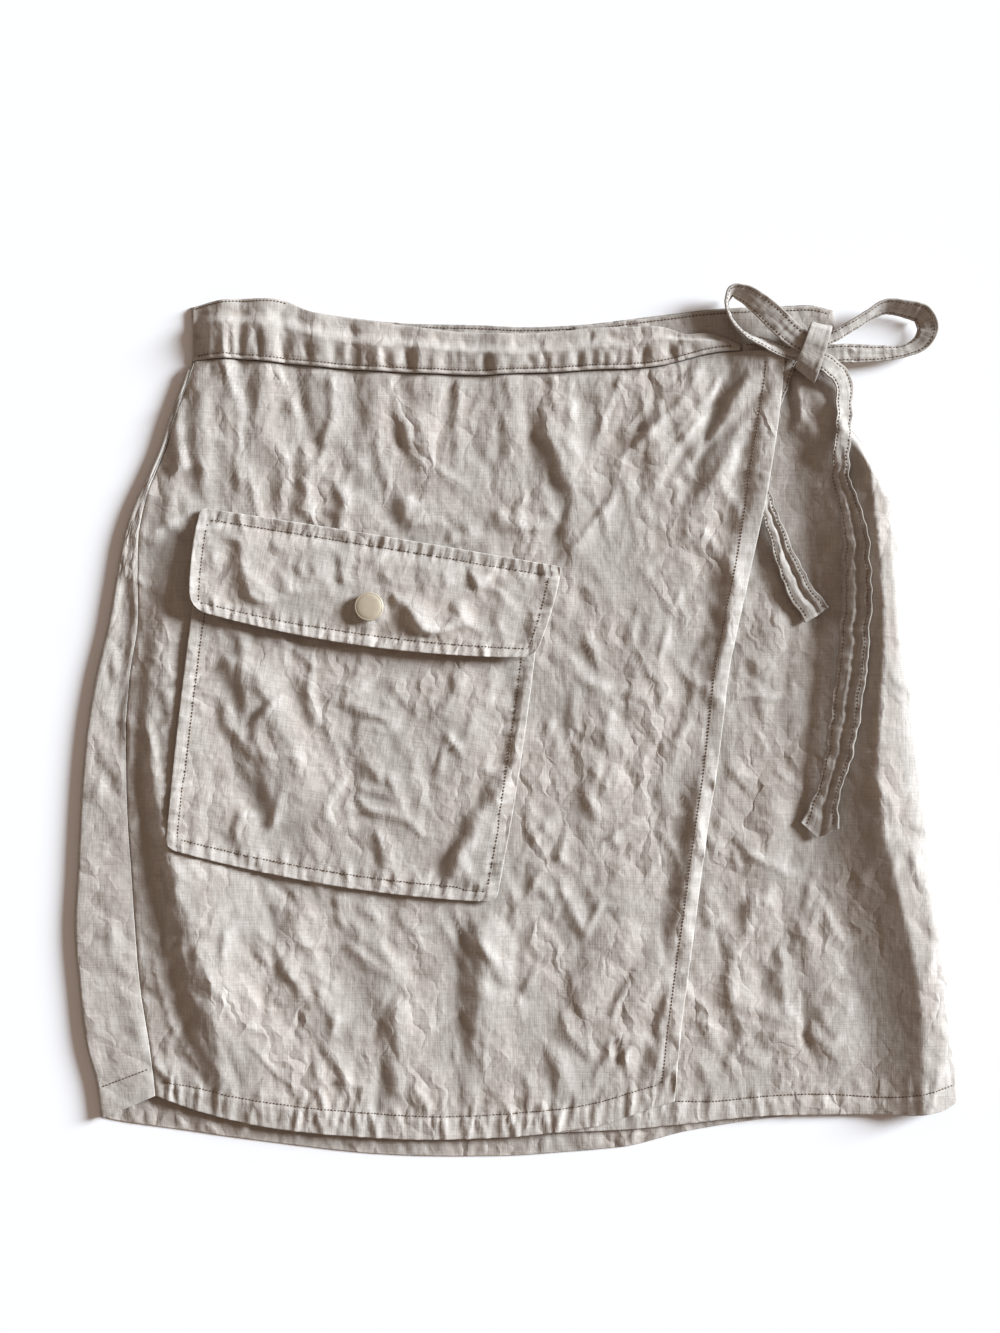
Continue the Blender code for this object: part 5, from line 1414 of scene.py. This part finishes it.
def inset_ring(edges, distance, skip=()):
    """Lines inside the edges of a patch, in their order round it: top, right, low, left."""
    plan = patch(*patch_edges(edges), np.linspace(0, 1, 241), np.linspace(0, 1, 121))
    grids = dict(zip(("left", "right", "top", "low"), ways(plan)))
    names = [name for name in ("top", "right", "low", "left") if name not in skip]
    lines = []
    for name in names:
        away, points = grids[name], plan
        inside = np.min([grids[other] for other in names if other != name], axis=0)
        if name in ("top", "low"):
            away, inside, points = away.T, inside.T, plan.transpose(1, 0, 2)
        at = np.argmin(np.abs(away - distance), axis=1)
        row = np.arange(len(away))
        line = points[row, at][inside[row, at] >= distance * 0.98]
        lines.append(line[::-1] if name in ("low", "left") else line)
    return lines


def smooth_line(points, step=0.8):
    """A line of points drawn evenly through a rougher one."""
    points = np.asarray(points, float)
    for _ in range(6):
        points[1:-1] = (points[:-2] + points[1:-1] * 2 + points[2:]) / 4
    way = way_along(points)
    t = np.arange(0, way[-1], step)
    return np.stack([np.interp(t, way, points[:, k]) for k in range(2)], -1)


def line_over(x0, x1, height, step=0.8):
    """A line that runs across, at the height of a curve."""
    x = np.arange(x0, x1, step)
    return np.stack([x, height(x)], -1)


def line_down(y0, y1, place, step=0.8):
    """A line that runs down, at the places of a curve."""
    y = np.arange(y0, y1, -step)
    return np.stack([place(y), y], -1)


def sewing_lines():
    """Every row of stitches on the panels: the piece that it is sewn on, and its line."""
    over = lambda x: along(HEM_STITCH, "over", x)
    wrap = lambda y: along(SIDES, "wrap", y) - along(WRAP_TURN, "width", y)
    rows = [
        ("front_band_cloth", line_over(-169, 114, lambda x: along(WAIST, "seam", x) + 2.7)),
        ("front_band_cloth", line_over(-170, -120, lambda x: along(WAIST, "front", x) - 1.3)),
        ("back_band_cloth", line_over(-66, 30, lambda x: along(WAIST, "back", x) - 1.9)),
        ("underlap_band_cloth", line_over(32, 164, lambda x: along(WAIST, "back", x) - 2.9)),
        ("overlap_cloth", line_over(-187, 75, over)),
        ("overlap_cloth", line_down(189, -192, wrap)),
        ("underlap_cloth", line_over(-30, 230, lambda x: along(HEM_STITCH, "under", x))),
        ("back_cloth", line_over(-219, -194, lambda x: -192.5 + (x + 219) * 0.38)),
    ]
    rows += [("flap_cloth", smooth_line(side)) for side in inset_ring(FLAP_EDGES, PATCH_STITCH)]
    rows += [
        ("pocket_cloth", smooth_line(side))
        for side in inset_ring(POCKET_EDGES, 6.6, skip=("top",))
    ]
    return rows


# Steps of the snap's two upper faces, from the outside in: how far each one is set in and
# how much it rises. The cap has a rolled rim, a fine groove inside it and a low crown.
CAP_STEPS = ((0.42, 0.22), (0.34, -0.1), (0.4, 0.2), (1.4, 0.2), (2, 0.1))
STUD_STEPS = ((2.1, 0.5),)
CAP_HEIGHT, CAP_LIFT = 1.7, WALL / 2 + 0.45  # lift: from the flap's middle to the part's foot
STUD_HEIGHT, STUD_LIFT = 0.9, -WALL / 2 - 1.5


def build_snap(material):
    """The snap's cap on the flap, its crown and rolled rim, and the stud below."""
    look = bpy.context.scene.skirt_snap
    x, y = SNAP_AT
    step = 4
    slope = (
        float(flap_z(x + step, y) - flap_z(x - step, y)) / (2 * step),
        float(flap_z(x, y + step) - flap_z(x, y - step)) / (2 * step),
    )
    up = Vector((-slope[0], -slope[1], 1)).normalized()
    turn = Vector((0, 0, 1)).rotation_difference(up).to_matrix().to_4x4()
    for node, radius, height, lift, steps in (
        ("snap_cap", look.diameter / 2, CAP_HEIGHT, CAP_LIFT, CAP_STEPS),
        ("snap_stud", SNAP_UNDER_D / 2 * MM, STUD_HEIGHT, STUD_LIFT, STUD_STEPS),
    ):
        name = node + "_brass"
        obj = start_piece(name, vertices=72, radius=radius, depth=height * MM)
        select_faces(obj, lambda centre, normal: normal.z > 0.9)
        for inward, rise in steps:
            bpy.ops.mesh.inset(thickness=inward * MM)
            bpy.ops.transform.translate(value=(0, 0, rise * MM))
        bpy.ops.object.mode_set(mode="OBJECT")
        bevel = obj.modifiers.new("soft edges", "BEVEL")
        bevel.width = 0.00014
        bevel.segments = 2
        bevel.limit_method = "ANGLE"
        bevel.angle_limit = math.radians(28)
        bpy.ops.object.modifier_apply(modifier=bevel.name)
        bpy.ops.object.shade_smooth_by_angle(angle=math.radians(35))
        z = float(flap_z(x, y)) + lift
        place = Matrix.Translation(Vector((x * MM, y * MM, z * MM)))
        foot = Matrix.Translation((0, 0, height * MM / 2))
        obj.data.transform(place @ turn @ foot)
        obj.data.materials.append(material)
        finish_piece(obj, "snap_metal", node)


# ---------------- materials
def srgb(code):
    """A colour written #RRGGBB, turned to linear light."""
    parts = [int(code[i : i + 2], 16) / 255 for i in (1, 3, 5)]
    return tuple(c / 12.92 if c <= 0.04045 else ((c + 0.055) / 1.055) ** 2.4 for c in parts)


def add(tree, kind, settings=None, inputs=None):
    """Adds a node with its settings, and its inputs as values or links."""
    node = tree.nodes.new(kind)
    for key, value in (settings or {}).items():
        setattr(node, key, value)
    for key, value in (inputs or {}).items():
        if isinstance(value, bpy.types.NodeSocket):
            tree.links.new(value, node.inputs[key])
        else:
            node.inputs[key].default_value = value
    return node


def new_material(name):
    """An empty material, or the one of that name that was already made."""
    old = bpy.data.materials.get(name)
    if old:
        return old, None
    mat = bpy.data.materials.new(name)
    mat.use_nodes = True
    mat.node_tree.nodes.clear()
    return mat, mat.node_tree


def calc(tree, operation, *values):
    """The result of a small sum of sockets and numbers."""
    inputs = dict(enumerate(values))
    return add(tree, "ShaderNodeMath", {"operation": operation}, inputs).outputs[0]


def blend(tree, share, *ends):
    """A colour between two others, each of them a socket or three numbers."""
    first, second = (c if isinstance(c, bpy.types.NodeSocket) else (*c, 1) for c in ends)
    inputs = {0: share, 6: first, 7: second}
    return add(tree, "ShaderNodeMix", {"data_type": "RGBA"}, inputs).outputs[2]


def remap(tree, value, *ranges):
    """A value moved from one range to another: from, to, new from, new to."""
    names = ("From Min", "From Max", "To Min", "To Max")
    inputs = {"Value": value, **dict(zip(names, ranges))}
    return add(tree, "ShaderNodeMapRange", {}, inputs).outputs[0]


def cells(tree, place, wide, long, turn=0):
    """A place measured in cells of a pattern, in metres wide and long."""
    inputs = {"Vector": place, "Scale": (1 / wide, 1 / long, 1), "Rotation": (0, 0, turn)}
    return add(tree, "ShaderNodeMapping", {"vector_type": "POINT"}, inputs).outputs[0]


def speckle(tree, place, scale, detail, rough=0.5):
    """Soft noise from 0 to 1."""
    inputs = {"Vector": place, "Scale": scale, "Detail": detail, "Roughness": rough}
    return add(tree, "ShaderNodeTexNoise", {}, inputs).outputs["Fac"]


def bump(tree, height, distance, *under):
    """The normals of a surface that a pattern is pressed into, on top of the bump under it."""
    inputs = {"Height": height, "Strength": 0.6, "Distance": distance}
    inputs.update(zip(("Normal",), under))
    return add(tree, "ShaderNodeBump", {}, inputs).outputs[0]


def surface(tree, inputs):
    """The shader with its inputs, joined to the output of the material."""
    shader = add(tree, "ShaderNodeBsdfPrincipled", {}, inputs)
    add(tree, "ShaderNodeOutputMaterial", {}, {"Surface": shader.outputs[0]})


def dim(colour, share):
    """A colour made darker."""
    return tuple(c * share for c in colour)


def linen_cloth(name, deep, pale, rosy):
    """Plain-woven linen and cotton, garment-washed: slubs, worn crests and rubbed hems, with
    painted highlight on crests and painted shade in dips.

    The threads are 0.45 mm apart in the real cloth. They are drawn twice as coarse, so
    that the weave shows.
    """
    mat, tree = new_material(name)
    if tree is None:
        return mat
    thread = bpy.context.scene.skirt_cloth.thread_spacing
    cut = add(tree, "ShaderNodeAttribute", {"attribute_name": "cut"}).outputs["Vector"]
    wear = add(tree, "ShaderNodeAttribute", {"attribute_name": "wear"}).outputs["Fac"]
    warp, weft, cross, mottle, cloud, crush = (
        speckle(tree, cells(tree, cut, wide, long), 1, detail, 0.6)
        for wide, long, detail in (
            (thread * 0.8, 0.012, 2),
            (0.015, thread * 0.8, 2),
            (thread * 1.2, thread * 1.7, 2),
            (0.009, 0.013, 3),
            (0.045, 0.06, 2),
            (0.0052, 0.0085, 1.5),
        )
    )
    slub = calc(tree, "ADD", warp, weft)
    shade = calc(tree, "MULTIPLY_ADD", slub, 0.8, -0.58)
    # the cloth's own grid of lighter and darker points: painted highlight on crests and painted
    # shade in dips, with worn crests and rubbed hems
    for source, amount, shift in ((cross, 0.6, -0.3), (mottle, 0.6, -0.3), (wear, 0.42, 0)):
        part = calc(tree, "MULTIPLY_ADD", source, amount, shift)
        shade = calc(tree, "ADD", shade, part)
    base = blend(tree, remap(tree, cloud, 0.38, 0.62, 0, 0.6), deep, rosy)
    colour = blend(tree, shade, base, pale)
    normal = bump(tree, slub, 0.00018)
    normal = bump(tree, crush, 0.0008, normal)
    # flat facets with crisp borders, strongest where the clouds leave the cloth crushed
    drift = add(tree, "ShaderNodeTexNoise", {}, {"Vector": cut, "Scale": 70, "Detail": 2})
    drift = add(
        tree, "ShaderNodeVectorMath", {"operation": "MULTIPLY_ADD"},
        {0: drift.outputs["Color"], 1: (0.024, 0.024, 0), 2: cut},
    ).outputs[0]
    facets = add(
        tree, "ShaderNodeTexVoronoi",
        {"voronoi_dimensions": "2D", "feature": "DISTANCE_TO_EDGE"},
        {"Vector": cells(tree, drift, 0.016, 0.027, 0.4), "Scale": 1},
    ).outputs["Distance"]
    where = remap(tree, cloud, 0.38, 0.66, 0.12, 1)
    normal = bump(tree, calc(tree, "MULTIPLY", facets, where), 0.004, normal)
    surface(tree, {
        "Base Color": colour, "Roughness": 0.93, "Normal": normal,
        "Sheen Weight": 0.18, "Sheen Roughness": 0.55, "Specular IOR Level": 0.25,
    })
    return mat


def sewing_thread(name, colour):
    """Spun polyester thread, drawn dark: its colour holds painted shade from the groove it is sunk
    in.
    """
    mat, tree = new_material(name)
    if tree is None:
        return mat
    where = add(tree, "ShaderNodeTexCoord").outputs["Object"]
    tone = blend(tree, speckle(tree, where, 900, 1), dim(colour, 0.72), colour)
    surface(tree, {"Base Color": tone, "Roughness": 0.7})
    return mat


def snap_brass(name, colour):
    """Stamped brass with a matt lacquer: pale, with a soft broad gloss and faint worn patches."""
    mat, tree = new_material(name)
    if tree is None:
        return mat
    where = add(tree, "ShaderNodeTexCoord").outputs["Object"]
    cloud = speckle(tree, where, 260, 4)
    tone = blend(tree, cloud, dim(colour, 0.8), colour)
    rough = remap(tree, cloud, 0, 1, 0.36, 0.52)
    surface(tree, {"Base Color": tone, "Roughness": rough, "Metallic": 0.25})
    return mat


def linens():
    """The front's cloth, the back's and the tie's, from one bolt and unevenly washed; the back's
    is the front's drawn darker, as painted shade on the bands.
    """
    look = bpy.context.scene.skirt_cloth
    deep, pale, rosy = look.deep, look.pale, look.rosy
    # painted shade: the bands' copy of the cloth is drawn 7% darker
    inside = (dim(deep, 0.93), dim(pale, 0.93), dim(rosy, 0.92))
    return (
        linen_cloth("washed linen cotton", deep, pale, rosy),
        linen_cloth("washed linen cotton, inside", *inside),
        linen_cloth("washed linen cotton, tie", dim(deep, 0.96), pale, deep),
    )


# ---------------- settings
class SkirtClothSettings(bpy.types.PropertyGroup):
    thickness: FloatProperty(
        name="Cloth thickness", default=0.0008, unit="LENGTH",
        description="Thickness of one layer of the washed linen as it is drawn",
    )
    grid: FloatProperty(
        name="Grid", default=0.0017, unit="LENGTH",
        description="Distance between the points of the panels' meshes",
    )
    crumple: FloatProperty(
        name="Crumple", default=0.00026, unit="LENGTH",
        description="Height of the crushed creases all over the cloth",
    )
    thread_spacing: FloatProperty(
        name="Thread spacing", default=0.0009, unit="LENGTH",
        description="Distance between the threads of the weave as they are drawn",
    )
    # the deep tone also fills the dips, where it is partly painted shade
    deep: FloatVectorProperty(
        name="Deep tone", default=srgb("#A69B90"), subtype="COLOR", min=0, max=1,
        description="Colour of the cloth where it is least washed",
    )
    # the pale tone on the crests is partly painted highlight
    pale: FloatVectorProperty(
        name="Pale tone", default=srgb("#D2C7BD"), subtype="COLOR", min=0, max=1,
        description="Colour of the slubs, the worn crests and the rubbed hems",
    )
    rosy: FloatVectorProperty(
        name="Rosy tone", default=srgb("#AF9F92"), subtype="COLOR", min=0, max=1,
        description="Warmer colour of the clouds in the cloth",
    )


class SkirtSewingSettings(bpy.types.PropertyGroup):
    pitch: FloatProperty(
        name="Stitch pitch", default=0.00185, unit="LENGTH",
        description="Distance from one stitch to the next",
    )
    share: FloatProperty(
        name="Stitch share", default=0.7, min=0.2, max=1.0, subtype="FACTOR",
        description="Share of the pitch that one stitch fills",
    )
    thread: FloatProperty(
        name="Thread", default=0.00072, unit="LENGTH",
        description="Thickness of the sewing thread as it is drawn",
    )
    # the thread's dark colour is partly painted shade of its groove
    colour: FloatVectorProperty(
        name="Thread colour", default=srgb("#736050"), subtype="COLOR", min=0, max=1,
        description="Colour of the sewing thread",
    )


class SkirtSnapSettings(bpy.types.PropertyGroup):
    diameter: FloatProperty(
        name="Cap diameter", default=SNAP_D * MM, unit="LENGTH",
        description="Diameter of the snap's cap",
    )
    colour: FloatVectorProperty(
        name="Brass", default=srgb("#CBBAA0"), subtype="COLOR", min=0, max=1,
        description="Colour of the lacquered brass",
    )


class SkirtTieSettings(bpy.types.PropertyGroup):
    thickness: FloatProperty(
        name="Tie thickness", default=0.0011, unit="LENGTH",
        description="Thickness of the tie, which is cloth folded and stitched",
    )


class SkirtStageSettings(bpy.types.PropertyGroup):
    height: FloatProperty(
        name="Camera height", default=1.25, unit="LENGTH",
        description="Height of the camera above the table",
    )
    seen: FloatProperty(
        name="Height seen", default=0.6998, unit="LENGTH",
        description="How much of the table the picture's long side shows",
    )
    key: FloatProperty(
        name="Key light", default=9.4, min=0,
        description="Strength of the large light at the upper right",
    )
    fill: FloatProperty(
        name="Fill light", default=0.27, min=0,
        description="Strength of the soft light from all round",
    )
    floor: FloatVectorProperty(
        name="Floor", default=srgb("#FAF5F2"), subtype="COLOR", min=0, max=1,
        description="Colour of the table",
    )


# ---------------- operators
SUN_FROM = Vector((0.89, 0.31, 0.335))  # where the key light comes from
SUN_TINT = (0.774, 0.888, 1.0)
SUN_ANGLE = 20  # how large the key light looks, in degrees: it softens the shadows
SKY_TINT = (1.0, 0.8, 0.67, 1)
CAMERA_AT = (-9.7, 28.35)  # what the middle of the picture shows
SENSOR = 36.0
THREADS = []  # rows of stitches on the straps, as the straps' builder leaves them


class SKIRT_OT_back(bpy.types.Operator):
    """Lays the back panel, with the lip that comes round the left side, and its band"""

    bl_idname = "skirt.back"
    bl_label = "Back panel and band"

    def execute(self, context):
        front, back, _ = linens()
        build_back(front, back)
        return {"FINISHED"}


class SKIRT_OT_underlap(bpy.types.Operator):
    """Lays the front panel that is wrapped under, and its band"""

    bl_idname = "skirt.underlap"
    bl_label = "Underlap and band"

    def execute(self, context):
        front, back, _ = linens()
        build_underlap(front, back)
        return {"FINISHED"}


class SKIRT_OT_overlap(bpy.types.Operator):
    """Lays the front panel that is wrapped over, and the puckered front band"""

    bl_idname = "skirt.overlap"
    bl_label = "Overlap and front band"

    def execute(self, context):
        front, _, _ = linens()
        build_overlap(front)
        build_front_band(front)
        return {"FINISHED"}


class SKIRT_OT_pocket(bpy.types.Operator):
    """Lays the patch pocket and its flap on the front"""

    bl_idname = "skirt.pocket"
    bl_label = "Pocket and flap"

    def execute(self, context):
        front, _, _ = linens()
        build_pocket(front)
        return {"FINISHED"}


class SKIRT_OT_snap(bpy.types.Operator):
    """Sets the press stud of the flap"""

    bl_idname = "skirt.snap"
    bl_label = "Snap"

    def execute(self, context):
        build_snap(snap_brass("lacquered brass", context.scene.skirt_snap.colour))
        return {"FINISHED"}


class SKIRT_OT_tie(bpy.types.Operator):
    """Ties the bow: the strap's root, its two loops, the knot and the two loose ends"""

    bl_idname = "skirt.tie"
    bl_label = "Tie and bow"

    def execute(self, context):
        _, _, tie = linens()
        THREADS.clear()
        build_strap("tie_root_cloth", TIE_ROOT, 1.0, tie, "tie_root", seed=1)
        build_strap("loop_left_cloth", LOOP_LEFT, 1.0, tie, "tie_loop_left", seed=2)
        build_strap("loop_right_cloth", LOOP_RIGHT, 1.0, tie, "tie_loop_right", seed=3)
        build_strap("knot_cloth", KNOT, 0.7, tie, "tie_knot", seed=4)
        build_strap(
            "tail_long_cloth", TAIL_LONG, 1.3, tie, "tie_tail_long",
            height=tail_base, point=TAIL_LONG_POINT, lean=0.24, seed=5,
        )
        build_strap(
            "tail_short_cloth", TAIL_SHORT, 1.2, tie, "tie_tail_short",
            height=tail_base, point=TAIL_SHORT_POINT, lean=0.12, seed=6,
        )
        return {"FINISHED"}


class SKIRT_OT_sewing(bpy.types.Operator):
    """Sews the rows of topstitching along bands, hems, pocket, flap and tie"""

    bl_idname = "skirt.sewing"
    bl_label = "Topstitching"

    def execute(self, context):
        sewing = context.scene.skirt_sewing
        thread = sewing_thread("spun polyester thread", sewing.colour)
        groups = {}
        for piece, plan in sewing_lines():
            groups.setdefault(piece, []).append(on_surface(piece, plan))
        slots = {"back_cloth": "linen_back", "back_band_cloth": "linen_back"}
        for piece, lines in groups.items():
            name = piece.replace("_cloth", "_stitches")
            slot_name = slots.get(piece, "linen_front")
            lay_stitches(name, lines, thread, slot_name, sewing.pitch)
        for piece in dict.fromkeys(row[0] for row in THREADS):
            lines = [(line, up) for name, line, up in THREADS if name == piece]
            name = piece.replace("_cloth", "_stitches")
            lay_stitches(name, lines, thread, "linen_tie", sewing.pitch * 1.1)
        return {"FINISHED"}


class SKIRT_OT_sheets(bpy.types.Operator):
    """An empty step: it changes nothing."""

    bl_idname = "skirt.sheets"
    bl_label = "Declare the cloth"

    def execute(self, context):
        return {"FINISHED"}


class SKIRT_OT_stage(bpy.types.Operator):
    """Sets the pale table, the soft light and the camera straight above"""

    bl_idname = "skirt.stage"
    bl_label = "Stage"

    def execute(self, context):
        look = context.scene.skirt_stage
        bpy.ops.object.select_all(action="DESELECT")
        bpy.ops.mesh.primitive_plane_add(size=40.0)
        table_top = context.object
        table_top.name = "table_top"
        mat, tree = new_material("matt white table")
        grain = add(tree, "ShaderNodeTexNoise", {}, {"Scale": 3.0, "Detail": 2.0})
        tone = blend(tree, grain.outputs["Fac"], dim(look.floor, 0.985), look.floor)
        surface(tree, {"Base Color": tone, "Roughness": 0.95})
        table_top.data.materials.append(mat)

        key = bpy.data.lights.new("key", "SUN")
        key.energy = look.key
        key.angle = math.radians(SUN_ANGLE)
        key.color = SUN_TINT
        lamp = bpy.data.objects.new("key", key)
        lamp.rotation_euler = SUN_FROM.to_track_quat("Z", "Y").to_euler()
        context.scene.collection.objects.link(lamp)

        world = bpy.data.worlds.new("studio")
        world.use_nodes = True
        sky = world.node_tree.nodes["Background"]
        sky.inputs["Color"].default_value = SKY_TINT
        sky.inputs["Strength"].default_value = look.fill
        context.scene.world = world
        context.scene.view_settings.view_transform = "Standard"

        camera = bpy.data.cameras.new("camera")
        camera.sensor_width = SENSOR
        camera.lens = SENSOR * (look.height - 0.005) / look.seen
        camera.clip_start, camera.clip_end = 0.05, 20.0
        holder = bpy.data.objects.new("camera", camera)
        holder.location = (CAMERA_AT[0] * MM, CAMERA_AT[1] * MM, look.height)
        context.scene.collection.objects.link(holder)
        context.scene.camera = holder
        return {"FINISHED"}


class SKIRT_PT_panel(bpy.types.Panel):
    """The steps that build the skirt, in their order"""

    bl_idname = "SKIRT_PT_panel"
    bl_label = "Wrap mini skirt"
    bl_space_type = "VIEW_3D"
    bl_region_type = "UI"
    bl_category = "Skirt"

    def draw(self, context):
        layout = self.layout
        for step in STEPS:
            layout.operator(step.bl_idname)
        for group in GROUPS:
            settings = getattr(context.scene, group)
            for key in settings.bl_rna.properties.keys():
                if key not in ("rna_type", "name"):
                    layout.prop(settings, key)


STEPS = (
    SKIRT_OT_back,
    SKIRT_OT_underlap,
    SKIRT_OT_overlap,
    SKIRT_OT_pocket,
    SKIRT_OT_snap,
    SKIRT_OT_tie,
    SKIRT_OT_sewing,
    SKIRT_OT_sheets,
    SKIRT_OT_stage,
)
GROUPS = {
    "skirt_cloth": SkirtClothSettings,
    "skirt_sewing": SkirtSewingSettings,
    "skirt_snap": SkirtSnapSettings,
    "skirt_tie": SkirtTieSettings,
    "skirt_stage": SkirtStageSettings,
}


def register():
    """Adds the settings, the steps and the panel to Blender."""
    for group, settings in GROUPS.items():
        bpy.utils.register_class(settings)
        setattr(bpy.types.Scene, group, bpy.props.PointerProperty(type=settings))
    for step in (*STEPS, SKIRT_PT_panel):
        bpy.utils.register_class(step)


def unregister():
    """Takes them out again."""
    for step in (SKIRT_PT_panel, *reversed(STEPS)):
        bpy.utils.unregister_class(step)
    for group, settings in GROUPS.items():
        delattr(bpy.types.Scene, group)
        bpy.utils.unregister_class(settings)


def main():
    """Builds the skirt and its stage."""
    register()
    for step in STEPS:
        getattr(bpy.ops.skirt, step.bl_idname.removeprefix("skirt."))()


if __name__ == "__main__":
    main()
